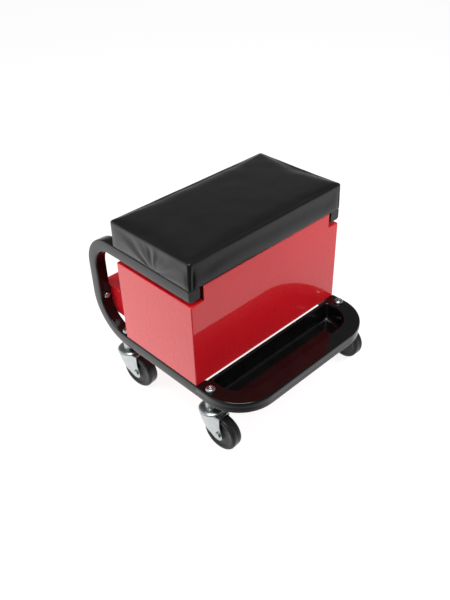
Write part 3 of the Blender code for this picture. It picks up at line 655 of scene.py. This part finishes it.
PULL_ROLL = 0.00525
PULL_DROP = 0.006
PULL_HEM = 0.0013


def build_drawer_face(name, node):
    """A face whose top edge rolls outwards as a full-width pull and ends in a small curl."""
    low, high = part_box(node)
    face_y = low.y + SHEET
    crown = high.z - PULL_ROLL
    outline = [(face_y, low.z + (crown - low.z) * i / 4) for i in range(4)]
    outline += arc((face_y + PULL_ROLL, crown), PULL_ROLL, 180, 0, 18)
    hem_z = crown - PULL_DROP + PULL_HEM
    outline += arc((high.y - PULL_HEM, hem_z), PULL_HEM, 0, -165, 8)
    shape = bmesh.new()
    rows = [[shape.verts.new((x, y, z)) for y, z in outline] for x in (low.x, 0.0, high.x)]
    for first, second in zip(rows, rows[1:]):
        strip(shape, first, second)
    shape.normal_update()
    flat = min(shape.faces, key=lambda f: f.calc_center_median().z)
    if flat.normal.y < 0:
        bmesh.ops.reverse_faces(shape, faces=shape.faces[:])
    mesh = bpy.data.meshes.new(name)
    shape.to_mesh(mesh)
    shape.free()
    mesh.shade_smooth()
    mesh.set_sharp_from_angle(angle=math.radians(40))
    give_thickness(show(name, mesh, node), edge=0.00025)


def build_drawer_pan(name, node):
    """An open pan of folded sheet with a bend along every edge."""
    low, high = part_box(node)
    points = [(x, y, z) for z in (low.z, high.z) for x, y in
              ((low.x, low.y), (high.x, low.y), (high.x, high.y), (low.x, high.y))]
    faces = [(0, 3, 2, 1), (0, 1, 5, 4), (1, 2, 6, 5), (2, 3, 7, 6), (3, 0, 4, 7)]
    give_thickness(show(name, folded(name, points, faces, SHEET_BEND), node), edge=0.00025)


def box_cutter(name, low, high):
    """A box that a Boolean takes away, and nothing else shows."""
    shape = bmesh.new()
    bmesh.ops.create_cube(shape, size=1.0)
    bmesh.ops.scale(shape, vec=high - low, verts=shape.verts[:])
    bmesh.ops.translate(shape, vec=(low + high) / 2, verts=shape.verts[:])
    return cutter_of(name, shape)


def cutter_of(name, shape):
    cutter = bpy.data.objects.new(name, mesh_of(name, shape))
    bpy.context.scene.collection.objects.link(cutter)
    cutter.hide_render = True
    cutter.hide_viewport = True
    cutter.display_type = "WIRE"
    return cutter


def take_away(piece, cutter):
    cut = piece.modifiers.new(cutter.name, "BOOLEAN")
    cut.object = cutter
    cut.solver = "EXACT"


def build_cabinet_back():
    low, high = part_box("cabinet_back")
    points = [(x, y, z) for y in (high.y, low.y) for x, z in
              ((low.x, low.z), (high.x, low.z), (high.x, high.z), (low.x, high.z))]
    faces = [(0, 3, 2, 1), (0, 1, 5, 4), (2, 3, 7, 6), (0, 4, 7, 3), (1, 2, 6, 5)]
    back = show("cabinet_rear_wall", folded("cabinet_rear_wall", points, faces, SHEET_BEND), "cabinet_back")
    solidify = back.modifiers.new("sheet", "SOLIDIFY")
    solidify.thickness = SHEET
    solidify.offset = -1.0
    solidify.use_even_offset = True
    for node, margin in (("drawer_housing", GAP), ("upper_drawer_pan", 0.002)):
        node_low, node_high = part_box(node)
        half = HOUSING_HALF_WIDTH if node == "drawer_housing" else node_high.x
        opening_low = Vector((-half - margin, high.y - 0.01, node_low.z - margin))
        opening_high = Vector((half + margin, high.y + 0.01, node_high.z + margin * 3))
        if node == "upper_drawer_pan":
            opening_low.z = node_low.z - GAP
        take_away(back, box_cutter(f"{node}_opening", opening_low, opening_high))
    even_shading(back)


# Fasteners

SCREW_HEAD_HEIGHT = 0.0046
SMALL_HEAD_HEIGHT = 0.0032


def button_screw(name, head_radius, head_height, shank_radius, length):
    """A button head with a rounded rim and a hexagon socket, above z = 0, and its shank below."""
    socket = head_radius * 0.34
    chamfer = 0.0004
    profile = [
        (shank_radius - chamfer, -length), (shank_radius, -length + chamfer), (shank_radius, 0.0),
        (head_radius - 0.0003, 0.0), (head_radius, 0.0003), (head_radius, head_height * 0.22),
    ]
    steps = 8
    for i in range(1, steps + 1):
        turn = math.pi / 2 * i / steps
        flat = head_radius * 0.56
        profile.append((
            flat + (head_radius - flat) * math.cos(turn),
            head_height * (0.22 + 0.78 * math.sin(turn)),
        ))
    profile += [
        (socket + 0.0004, head_height, 6), (socket, head_height - 0.0003, 6), (socket, head_height * 0.30, 6),
        (socket * 0.5, head_height * 0.18),
    ]
    return turned(name, profile)


def hexagon_nut(name, bore, apothem, low, high):
    """A nut about Z: chamfered corners, flats, and a bore."""
    chamfer = 0.0007
    profile = [
        (bore, low), (apothem * 0.96, low), (apothem, low + chamfer, 6), (apothem, high - chamfer, 6),
        (apothem * 0.96, high), (bore + 0.0004, high), (bore, high - 0.0004), (bore, low),
    ]
    return turned(name, profile, 36, 25)


def upright_place(node, flip=False):
    """A fastener that stands along Z: its origin is under its head, at the box's head end."""
    low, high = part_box(node)
    centre = (low + high) / 2
    if flip:
        return Matrix.Translation((centre.x, centre.y, low.z)) @ Matrix.Rotation(math.pi, 4, "X")
    return Matrix.Translation((centre.x, centre.y, high.z))


def build_fasteners():
    caster_low, caster_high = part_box("caster_screw_front_left")
    head_radius = (caster_high.x - caster_low.x) / 2
    screw = button_screw("caster_screw", head_radius, SCREW_HEAD_HEIGHT, 0.004,
                         caster_high.z - caster_low.z - SCREW_HEAD_HEIGHT)
    down = Matrix.Translation((0, 0, -SCREW_HEAD_HEIGHT))
    for corner in CORNERS:
        node = f"caster_screw_{corner}"
        show(f"button_screw_{corner}", screw, node, upright_place(node) @ down)
    small_low, small_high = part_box("cabinet_screw_front_left")
    small_radius = (small_high.x - small_low.x) / 2
    down = Matrix.Translation((0, 0, -SMALL_HEAD_HEIGHT))
    cabinet_screw = button_screw("cabinet_screw", small_radius, SMALL_HEAD_HEIGHT, 0.003,
                                 small_high.z - small_low.z - SMALL_HEAD_HEIGHT)
    seat_low, seat_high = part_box("seat_bolt_front_left")
    seat_bolt = button_screw("seat_bolt", small_radius, SMALL_HEAD_HEIGHT, 0.003,
                             seat_high.z - seat_low.z - SMALL_HEAD_HEIGHT)
    housing_low, housing_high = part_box("housing_bolt_left")
    housing_bolt = button_screw("housing_bolt", small_radius, SMALL_HEAD_HEIGHT, 0.003,
                                housing_high.y - housing_low.y - SMALL_HEAD_HEIGHT)
    nut_low, nut_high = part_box("housing_nut_left")
    nut = hexagon_nut("housing_nut", 0.0032, small_radius - 0.0005, 0.0, nut_high.y - nut_low.y)
    for side in SIDES:
        for end in ("front", "rear"):
            node = f"cabinet_screw_{end}_{side}"
            show(f"floor_screw_{end}_{side}", cabinet_screw, node, upright_place(node) @ down)
            node = f"seat_bolt_{end}_{side}"
            show(f"seat_screw_{end}_{side}", seat_bolt, node, upright_place(node, True) @ down)
        low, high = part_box(f"housing_bolt_{side}")
        place = Matrix.Translation(((low.x + high.x) / 2, high.y, (low.z + high.z) / 2))
        place = place @ Matrix.Rotation(-math.pi / 2, 4, "X") @ down
        show(f"tab_bolt_{side}", housing_bolt, f"housing_bolt_{side}", place)
        low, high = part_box(f"housing_nut_{side}")
        place = Matrix.Translation(((low.x + high.x) / 2, high.y, (low.z + high.z) / 2))
        place = place @ Matrix.Rotation(math.pi / 2, 4, "X")
        show(f"tab_nut_{side}", nut, f"housing_nut_{side}", place)


# Casters: each mesh is modelled about its own axis, and placed by its joint

def race_mesh(fork_top, collar_top):
    """Collar, pressed race with the groove its balls run in, and the kingpin below."""
    collar = 0.0098
    bore = 0.0044
    race_low = fork_top + GAP
    race_top = race_low + 0.0062
    groove = race_low + 0.0019
    r = RACE_RADIUS
    foot = collar + 0.0012
    profile = [(bore, collar_top), (collar - 0.0004, collar_top), (collar, collar_top - 0.0004)]
    profile += [(collar, race_top + 0.0012)]
    profile += [(foot - y, race_top + 0.0012 - x) for x, y in arc((0, 0), 0.0012, 0, 90, 4)][1:]
    for i in range(1, 11):
        turn = math.radians(84 * i / 10)
        drop = (race_top - groove - 0.0003) * (1 - math.cos(turn))
        profile.append((foot + (r - foot) * math.sin(turn), race_top - drop))
    profile += [(r - 0.0003, groove + 0.0003), (r - 0.0012, groove + 0.0002), (r - 0.0012, groove - 0.0002)]
    profile += [(r - 0.0002, groove - 0.0004)]
    profile += arc((r - 0.0013, race_low + 0.0011), 0.0011, 0, -90, 4)
    rivet_top = fork_top - FORK_SHEET - GAP
    profile += [(KINGPIN_RADIUS, race_low), (KINGPIN_RADIUS, rivet_top), (0.0092, rivet_top), (0.0092, rivet_top - 0.0008)]
    profile += [(0.0080, rivet_top - 0.0022), (bore, rivet_top - 0.0022), (bore, collar_top)]
    return turned("caster_race", profile, 64, 38)


def smoothed(points, steps):
    """A curve through points: Catmull-Rom, with both ends kept."""
    ends = [points[0]] + list(points) + [points[-1]]
    curve = []
    for before, start, end, after in zip(ends, ends[1:], ends[2:], ends[3:]):
        for i in range(steps):
            t = i / steps
            weights = (
                (-t + 2 * t ** 2 - t ** 3) / 2, (2 - 5 * t ** 2 + 3 * t ** 3) / 2,
                (t + 4 * t ** 2 - 3 * t ** 3) / 2, (t ** 3 - t ** 2) / 2,
            )
            corners = (before, start, end, after)
            curve.append(tuple(sum(w * corner[k] for w, corner in zip(weights, corners)) for k in range(2)))
    return curve + [points[-1]]


def fork_surface(fork_top, trail, axle_z):
    """A folded U: the crown, and two legs with a curved rear edge, rounded below the axle."""
    toe = arc((trail, axle_z - LEG_TOE_DROP), LEG_TOE_RADIUS, 180, 275, 12)
    rear_edge = smoothed([toe[-1]] + [(y, fork_top + drop) for y, drop in LEG_REAR_EDGE], 4)
    outline = [(FORK_REAR_Y, fork_top), (FORK_FRONT_Y, fork_top), (FORK_FRONT_Y, fork_top - LEG_FRONT_DROP)]
    outline += toe[:-1] + rear_edge
    count = len(outline)
    points = [(-FORK_HALF_WIDTH, y, z) for y, z in outline] + [(FORK_HALF_WIDTH, y, z) for y, z in outline]
    faces = [tuple(reversed(range(count))), tuple(range(count, 2 * count)), (0, 1, count + 1, count)]
    return folded("caster_fork", points, faces, 0.0026, steps=5)


def wheel_mesh(radius):
    """A solid wheel about Z: hub, dished web, raised rim, shoulder groove and a barely crowned tread."""
    half = WHEEL_HALF_WIDTH
    web = half - 0.0020
    bore = BUSH_RADIUS + GAP
    rim_end = radius - 0.0042
    side = [(bore, half - 0.0003), (bore + 0.0003, half), (0.0102, half)]
    side += [(0.0110, half - 0.0004), (0.0122, web + 0.0002), (0.0128, web), (radius - 0.0100, web)]
    side += [(radius - 0.0092, web + 0.0003), (radius - 0.0080, half - 0.0006), (radius - 0.0074, half - 0.0003)]
    side += [(rim_end, half - 0.0003), (rim_end + 0.0005, half - 0.0007)]
    shoulder = 0.0036
    side += arc((radius - shoulder, half - shoulder - 0.0006), shoulder, 82, 8, 8)
    side += [(radius - 0.00005, half * 0.45), (radius, 0.0006), (radius - 0.00012, 0.0003)]
    profile = side + [(r, -z) for r, z in reversed(side)]
    return turned("caster_wheel", profile + profile[:1], 72, 30)


def axle_mesh():
    """The axle bolt about Z: a hexagon head with a washer face, and a threaded tip."""
    out = FORK_HALF_WIDTH + GAP
    tip = out + 0.0055
    head = 0.0030
    pitch = 0.0008
    profile = [(AXLE_RADIUS - 0.0006, -tip), (AXLE_RADIUS, -tip + 0.0006)]
    turns = 5
    for i in range(turns):
        z = -tip + 0.0008 + i * pitch
        profile += [(AXLE_RADIUS, z), (AXLE_RADIUS - 0.0003, z + pitch / 2)]
    profile += [(AXLE_RADIUS, -tip + 0.0008 + turns * pitch), (AXLE_RADIUS, out), (0.0060, out)]
    profile += [(0.0060, out + 0.0004), (0.0053, out + 0.0005, 6), (0.0053, out + head - 0.0006, 6)]
    profile += [(0.0050, out + head)]
    return turned("caster_axle", profile, 36, 25)


def build_casters():
    joints = {j["name"]: j for j in frame["joints"]}
    nut_low, nut_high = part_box("axle_nut_front_right")
    nut_length = nut_high.x - nut_low.x
    shared = {}
    for corner in CORNERS:
        swivel = joints[f"swivel_{corner}_turn"]
        roller = joints[f"roller_{corner}_turn"]
        swivel_at = Vector(swivel["pos_m"])
        axle_at = Vector(roller["pos_m"])
        turn = math.atan2(roller["axis"][1], roller["axis"][0])
        outward = 1 if swivel_at.x > 0 else -1
        if not shared:
            offset = Matrix.Rotation(-turn, 3, "Z") @ (axle_at - swivel_at)
            collar_top = tube_low.z - GAP - swivel_at.z
            nut_end = FORK_HALF_WIDTH + GAP
            shared = {
                "race": race_mesh(0.0, collar_top),
                "fork": fork_surface(0.0, offset.y, offset.z),
                "wheel": wheel_mesh(axle_at.z),
                "axle": axle_mesh(),
                "axle_nut": hexagon_nut("axle_nut", AXLE_RADIUS + 0.0002, 0.0060, -nut_end - 0.0042, -nut_end),
                "wheel_bush": bush_mesh(),
            }
        upright = Matrix.Translation(swivel_at) @ Matrix.Rotation(turn, 4, "Z")
        show(f"race_{corner}", shared["race"], f"caster_race_{corner}", Matrix.Translation(swivel_at))
        fork = show(f"fork_{corner}", shared["fork"], f"caster_fork_{corner}", upright)
        give_thickness(fork, FORK_SHEET, edge=0.0003)
        hole = bmesh.new()
        bmesh.ops.create_cone(
            hole, cap_ends=True, segments=48, radius1=KINGPIN_RADIUS + GAP, radius2=KINGPIN_RADIUS + GAP, depth=0.012,
            matrix=Matrix.Translation(swivel_at),
        )
        take_away(fork, cutter_of(f"kingpin_hole_{corner}", hole))
        along = Matrix.Translation(axle_at) @ Matrix.Rotation(turn, 4, "Z")
        along = along @ Matrix.Rotation(outward * math.pi / 2, 4, "Y")
        show(f"rubber_wheel_{corner}", shared["wheel"], f"wheel_{corner}", along)
        show(f"bush_{corner}", shared["wheel_bush"], f"wheel_bush_{corner}", along)
        show(f"axle_bolt_{corner}", shared["axle"], f"axle_{corner}", along)
        show(f"lock_nut_{corner}", shared["axle_nut"], f"axle_nut_{corner}", along)


def bush_mesh():
    bore = AXLE_RADIUS + 0.0001
    half = WHEEL_HALF_WIDTH + 0.0001
    edge = 0.0003
    profile = [
        (bore, half), (BUSH_RADIUS - edge, half), (BUSH_RADIUS, half - edge), (BUSH_RADIUS, edge - half),
        (BUSH_RADIUS - edge, -half), (bore, -half), (bore, half),
    ]
    return turned("wheel_bush", profile, 36)


# Seat

PAD_CORNER = 0.0050
PAD_TOP_EDGE = 0.0030
PAD_SHRINK = 0.0006
PAD_TUCK = 0.0004
PAD_PULL_IN = 0.0004
PAD_PRESSURE = 4.0
PAD_FRAMES = 20
PAD_RISE = 0.0030
PAD_BULGE = 0.0010
PAD_SMOOTHING = 4
PAD_SINK = 0.0003
PAD_FILL = (1.007, 1.020)


def graded(half, zone, fine, coarse):
    """Places from -half to half: close together within zone of each end, wider in the middle."""
    inner = half - zone
    ends = max(round(zone / fine), 1)
    middle = max(round(2 * inner / coarse), 1)
    places = [-half + zone * i / ends for i in range(ends)]
    places += [-inner + 2 * inner * i / middle for i in range(middle)]
    return places + [inner + zone * i / ends for i in range(ends + 1)]


def rounded(place, half):
    """Move a point of a block's surface to where rounded upright corners and a top edge put it."""
    nearest = Vector([max(PAD_CORNER - half[k], min(half[k] - PAD_CORNER, place[k])) for k in range(2)])
    outward = place.xy - nearest
    reach = max(abs(outward.x), abs(outward.y))
    if reach < 1e-9:
        return place
    from_side = PAD_CORNER - reach
    from_top = half.z - place.z
    if max(from_side, from_top) < PAD_TOP_EDGE:
        bend = Vector((from_side - PAD_TOP_EDGE, from_top - PAD_TOP_EDGE)).normalized() * PAD_TOP_EDGE
        from_side, from_top = bend + Vector((PAD_TOP_EDGE, PAD_TOP_EDGE))
    flat = nearest + outward.normalized() * (PAD_CORNER - from_side)
    return Vector((flat.x, flat.y, half.z - from_top))


def pad_start(low, high):
    """A slightly small pad of even cells: round edges, sides that tuck in and pull in a little."""
    centre = (low + high) / 2
    half = (high - low) / 2 - Vector((PAD_SHRINK, PAD_SHRINK, PAD_SHRINK / 2))
    xs = graded(half.x, 0.012, 0.002, 0.005)
    ys = graded(half.y, 0.012, 0.002, 0.005)
    zs = graded(half.z, 0.009, 0.0022, 0.004)
    shape = bmesh.new()
    for axis in range(3):
        rows, columns = ((ys, zs), (xs, zs), (xs, ys))[axis]
        for end in (-half[axis], half[axis]):
            grid = []
            for a in rows:
                line = []
                for b in columns:
                    place = [a, b]
                    place.insert(axis, end)
                    line.append(shape.verts.new(place))
                grid.append(line)
            for first, second in zip(grid, grid[1:]):
                strip(shape, first, second)
    bmesh.ops.remove_doubles(shape, verts=shape.verts[:], dist=0.00005)
    for vert in shape.verts:
        vert.co = rounded(vert.co, half)
        level = 0.5 - vert.co.z / half.z / 2
        tuck = PAD_TUCK * level ** 2
        along_x = 1 - (vert.co.x / half.x) ** 2
        along_y = 1 - (vert.co.y / half.y) ** 2
        x = vert.co.x * (1 - (tuck + PAD_PULL_IN * along_y) / half.x)
        y = vert.co.y * (1 - (tuck + PAD_PULL_IN * along_x) / half.y)
        vert.co = centre + Vector((x, y, vert.co.z - PAD_SHRINK / 2))
    return mesh_of("padded_seat", shape, 180)


def bake(piece):
    """Replace a piece's mesh by what its modifiers make of it."""
    graph = bpy.context.evaluated_depsgraph_get()
    made = bpy.data.meshes.new_from_object(piece.evaluated_get(graph), depsgraph=graph)
    piece.modifiers.clear()
    piece.data = made


def coordinates(piece):
    flat = np.zeros(len(piece.data.vertices) * 3, np.float32)
    piece.data.vertices.foreach_get("co", flat)
    return flat.reshape(-1, 3).astype(float)


def set_coordinates(piece, places):
    piece.data.vertices.foreach_set("co", places.astype(np.float32).ravel())
    piece.data.update()


def inflate(pad, low):
    """Swell the cover by cloth simulation, held at its stapled bottom, and ease the swelling off."""
    start = coordinates(pad)
    held = pad.vertex_groups.new(name="held")
    held.add([i for i, z in enumerate(start[:, 2]) if z < low.z + 0.004], 1.0, "REPLACE")
    cloth = pad.modifiers.new("cloth", "CLOTH")
    settings = cloth.settings
    settings.quality = 6
    settings.vertex_group_mass = "held"
    settings.use_pressure = True
    settings.uniform_pressure_force = PAD_PRESSURE
    settings.tension_stiffness = 30.0
    settings.compression_stiffness = 30.0
    settings.shear_stiffness = 8.0
    settings.bending_stiffness = 1.0
    settings.effector_weights.gravity = 0.0
    cloth.collision_settings.use_collision = False
    cloth.point_cache.frame_start = 1
    cloth.point_cache.frame_end = PAD_FRAMES
    for number in range(1, PAD_FRAMES + 1):
        bpy.context.scene.frame_set(number)
    bake(pad)
    moved = coordinates(pad) - start
    limit = np.array([PAD_BULGE, PAD_BULGE, PAD_RISE])
    eased = limit * np.tanh(moved / limit)
    eased[:, 2] = np.maximum(eased[:, 2], -PAD_SINK)
    ends = np.zeros(len(pad.data.edges) * 2, int)
    pad.data.edges.foreach_get("vertices", ends)
    first, second = ends.reshape(-1, 2).T
    count = np.bincount(ends, minlength=len(start))[:, None] + 1.0
    for _ in range(PAD_SMOOTHING):
        total = eased.copy()
        np.add.at(total, first, eased[second])
        np.add.at(total, second, eased[first])
        eased = total / count
    set_coordinates(pad, start + eased)
    bpy.context.scene.frame_set(1)


def ease(value, start, end):
    """0 below start, 1 above end, smooth between."""
    t = np.clip((value - start) / (end - start), 0.0, 1.0)
    return t * t * (3 - 2 * t)


def fill_out(places, low, high):
    """The foam fills its cover: a little wider and deeper than the board, to make up for soft corners."""
    for axis in (0, 1):
        middle = (low[axis] + high[axis]) / 2
        places[:, axis] = middle + (places[:, axis] - middle) * PAD_FILL[axis]


def side_folds(places, low, high):
    """Where the cover is pulled to a staple at each end, shallow folds fan out of that point."""
    centre_y = (low.y + high.y) / 2 - 0.012
    for sign in (-1, 1):
        edge = low.x if sign < 0 else high.x
        on_side = 1 - ease(np.abs(places[:, 0] - edge), 0.004, 0.011)
        u = places[:, 1] - centre_y
        v = places[:, 2] - low.z + 0.004
        reach = np.hypot(u, v)
        angle = np.arctan2(v, u)
        waves = 0.62 * np.sin(angle * 9 + sign) + 0.38 * np.sin(angle * 15 + 2.1)
        strength = 0.0008 * ease(reach, 0.004, 0.022) * (1 - ease(reach, 0.045, 0.105))
        below_edge = 1 - ease(places[:, 2], high.z - 0.016, high.z - 0.003)
        places[:, 0] += sign * on_side * below_edge * strength * waves


def corner_pleats(places, low, high):
    """A narrow pleat beside each upright corner, deepest at the bottom."""
    depth = 0.0012
    offset = 0.0085
    width = 0.0026
    height = ease(high.z - places[:, 2], 0.006, 0.030)
    for sign_y in (-1, 1):
        edge_y = low.y if sign_y < 0 else high.y
        on_side = 1 - ease(np.abs(places[:, 1] - edge_y), 0.004, 0.010)
        for sign_x in (-1, 1):
            edge_x = low.x if sign_x < 0 else high.x
            lean = 0.0025 * (high.z - places[:, 2]) / (high.z - low.z)
            from_pleat = (edge_x - places[:, 0]) * sign_x - offset + lean
            groove = np.exp(-(from_pleat / width) ** 2)
            places[:, 1] -= sign_y * on_side * height * depth * groove


def soft_dents(places, low, high):
    """Slow, shallow unevenness of foam under its cover, over the top only."""
    on_top = ease(places[:, 2], high.z - 0.008, high.z - 0.001)
    for i in range(len(places)):
        if on_top[i] > 0:
            wave = noise.noise(Vector(places[i]) * 14.0) + 0.4 * noise.noise(Vector(places[i]) * 38.0)
            places[i, 2] += on_top[i] * 0.0007 * wave


def build_seat():
    low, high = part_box("seat_cushion")
    board_low, board_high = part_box("seat_board")
    mesh = pad_start(low, high)
    pad = bpy.data.objects.new("padded_seat", mesh)
    bpy.context.scene.collection.objects.link(pad)
    inflate(pad, low)
    pad.modifiers.new("finer", "SUBSURF").levels = 1
    bake(pad)
    places = coordinates(pad)
    fill_out(places, low, high)
    side_folds(places, low, high)
    corner_pleats(places, low, high)
    soft_dents(places, low, high)
    set_coordinates(pad, places)
    pocket_gap = 0.0006
    reach = Vector((pocket_gap,) * 3)
    pocket_low = board_low - reach
    pocket_high = board_high + reach
    pocket_low.z = low.z - 0.01
    pocket = box_cutter("board_pocket", pocket_low, pocket_high)
    take_away(pad, pocket)
    bake(pad)
    bpy.data.objects.remove(pocket)
    pad.data.name = "padded_seat"
    pad.data.materials.clear()
    pad.data.materials.append(FINISH["black_vinyl"])
    pad.data.shade_smooth()
    pad.data.set_sharp_from_angle(angle=math.radians(50))
    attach(pad, frame["nodes"]["seat_cushion"]["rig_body"])
    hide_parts("seat_cushion")


# Carried-over CAD nodes

def dress_cad_nodes():
    """Give every CAD node that still shows its material and small rounded edges."""
    for name, node in frame["nodes"].items():
        node.data.materials.clear()
        node.data.materials.append(FINISH[SLOT[name]])
        if not node.hide_render:
            soften(node, 0.00035)


# Stage, light and camera

FLOOR_GLOW_LEFT = 1.50
FLOOR_GLOW_RIGHT = 0.92
FLOOR_GLOW_CAMERA = 0.08
FLOOR_SEEN = 0.87
SKY_DIM = 0.17
SKY_HORIZON = 0.6
SKY_LEFT = 0.85


def build_stage():
    shape = bmesh.new()
    bmesh.ops.create_grid(shape, x_segments=1, y_segments=1, size=8.0)
    mesh = bpy.data.meshes.new("floor")
    shape.to_mesh(mesh)
    shape.free()
    floor = bpy.data.objects.new("floor", mesh)
    bpy.context.scene.collection.objects.link(floor)
    floor.location.z = -0.0005
    material = bpy.data.materials.new("pale_floor")
    material.use_nodes = True
    tree = material.node_tree
    shader = tree.nodes["Principled BSDF"]
    shader.inputs["Base Color"].default_value = (0.24, 0.24, 0.24, 1.0)
    shader.inputs["Roughness"].default_value = 0.9
    shader.inputs["Specular IOR Level"].default_value = 0.0
    shader.inputs["Emission Color"].default_value = (1.0, 1.0, 1.0, 1.0)
    shader.inputs["Emission Strength"].default_value = FLOOR_SEEN
    place = tree.nodes.new("ShaderNodeNewGeometry").outputs["Position"]
    level = tree.nodes.new("ShaderNodeMath")
    level.operation = "MULTIPLY"
    azimuth = math.radians(CAMERA_AZIMUTH - 90)
    toward_camera = (math.cos(azimuth), math.sin(azimuth), 0.0)
    gap = graded_along(tree, place, toward_camera, (0.20, 0.38), (1.0, FLOOR_GLOW_CAMERA))
    tree.links.new(gap, level.inputs[0])
    side = graded_along(tree, place, (1.0, 0.0, 0.0), (-0.45, 0.30), (FLOOR_GLOW_LEFT, FLOOR_GLOW_RIGHT))
    tree.links.new(side, level.inputs[1])
    glow = tree.nodes.new("ShaderNodeEmission")
    tree.links.new(level.outputs[0], glow.inputs["Strength"])
    tree.links.new(only_camera(tree, glow.outputs[0], shader.outputs[0]), tree.nodes["Material Output"].inputs[0])
    mesh.materials.append(material)


def graded_along(tree, place, direction, reach, levels):
    """A value that goes smoothly from one level to another along a direction."""
    along = tree.nodes.new("ShaderNodeVectorMath")
    along.operation = "DOT_PRODUCT"
    tree.links.new(place, along.inputs[0])
    along.inputs[1].default_value = direction
    grade = tree.nodes.new("ShaderNodeMapRange")
    grade.interpolation_type = "SMOOTHSTEP"
    tree.links.new(along.outputs["Value"], grade.inputs["Value"])
    grade.inputs["From Min"].default_value, grade.inputs["From Max"].default_value = reach
    grade.inputs["To Min"].default_value, grade.inputs["To Max"].default_value = levels
    return grade.outputs["Result"]


def only_camera(tree, other, seen):
    """Mix two shaders: the camera sees one, and light and reflections take the other."""
    rays = tree.nodes.new("ShaderNodeLightPath")
    mix = tree.nodes.new("ShaderNodeMixShader")
    tree.links.new(rays.outputs["Is Camera Ray"], mix.inputs["Fac"])
    tree.links.new(other, mix.inputs[1])
    tree.links.new(seen, mix.inputs[2])
    return mix.outputs[0]


def area_light(name, place, target, size, power):
    data = bpy.data.lights.new(name, "AREA")
    data.shape = "RECTANGLE"
    data.size = size[0]
    data.size_y = size[1]
    data.energy = power
    light = bpy.data.objects.new(name, data)
    bpy.context.scene.collection.objects.link(light)
    light.location = place
    light.rotation_mode = "QUATERNION"
    light.rotation_quaternion = (Vector(target) - Vector(place)).to_track_quat("-Z", "Y")
    return light


def build_light():
    """A wide lamp overhead, and a room that darkens upwards but is white to the camera."""
    area_light("overhead", (-0.5, -0.5, 2.2), (0, 0, 0.1), (1.2, 1.2), 38.0)
    area_light("front", (0.60, -0.75, 0.75), (0, -0.1, 0.2), (0.4, 0.4), 7.0).visible_glossy = False
    area_light("left", (-0.90, 0.45, 0.75), (0, 0, 0.2), (0.4, 0.4), 3.6).visible_glossy = False
    world = bpy.data.worlds.new("studio")
    bpy.context.scene.world = world
    world.use_nodes = True
    tree = world.node_tree
    place = tree.nodes.new("ShaderNodeTexCoord").outputs["Generated"]
    fall = graded_along(tree, place, (0.0, 0.0, 1.0), (0.0, 0.40), (SKY_HORIZON, SKY_DIM))
    window = graded_along(tree, place, (-0.92, 0.39, 0.0), (0.35, 0.75), (0.0, SKY_LEFT))
    both = tree.nodes.new("ShaderNodeMath")
    tree.links.new(fall, both.inputs[0])
    tree.links.new(window, both.inputs[1])
    room = tree.nodes["Background"]
    room.inputs["Color"].default_value = (1.0, 1.0, 1.0, 1.0)
    tree.links.new(both.outputs[0], room.inputs["Strength"])
    white = tree.nodes.new("ShaderNodeBackground")
    white.inputs["Color"].default_value = (1.0, 1.0, 1.0, 1.0)
    tree.links.new(only_camera(tree, room.outputs[0], white.outputs[0]), tree.nodes["World Output"].inputs[0])
    bpy.context.scene.view_settings.view_transform = "Standard"


CAMERA_AZIMUTH = -43.14
CAMERA_ELEVATION = 36.24
CAMERA_ROLL = -1.90
CAMERA_PLACE = (-0.7058, -0.7301, 0.8920)
CAMERA_LENS = 41.38


def build_camera():
    data = bpy.data.cameras.new("camera")
    data.lens = CAMERA_LENS
    camera = bpy.data.objects.new("camera", data)
    bpy.context.scene.collection.objects.link(camera)
    azimuth = math.radians(CAMERA_AZIMUTH)
    tilt = math.radians(90 - CAMERA_ELEVATION)
    turn = Matrix.Rotation(azimuth, 4, "Z") @ Matrix.Rotation(tilt, 4, "X")
    turn = turn @ Matrix.Rotation(math.radians(CAMERA_ROLL), 4, "Z")
    camera.matrix_world = Matrix.Translation(CAMERA_PLACE) @ turn
    bpy.context.scene.camera = camera


build_frame()
build_tray()
build_cabinet()
build_cabinet_back()
for level in ("lower", "upper"):
    build_drawer_pan(f"{level}_pan_sheet", f"{level}_drawer_pan")
    build_drawer_face(f"{level}_pull_face", f"{level}_drawer_face")
build_fasteners()
build_casters()
build_seat()
dress_cad_nodes()
build_stage()
build_light()
build_camera()
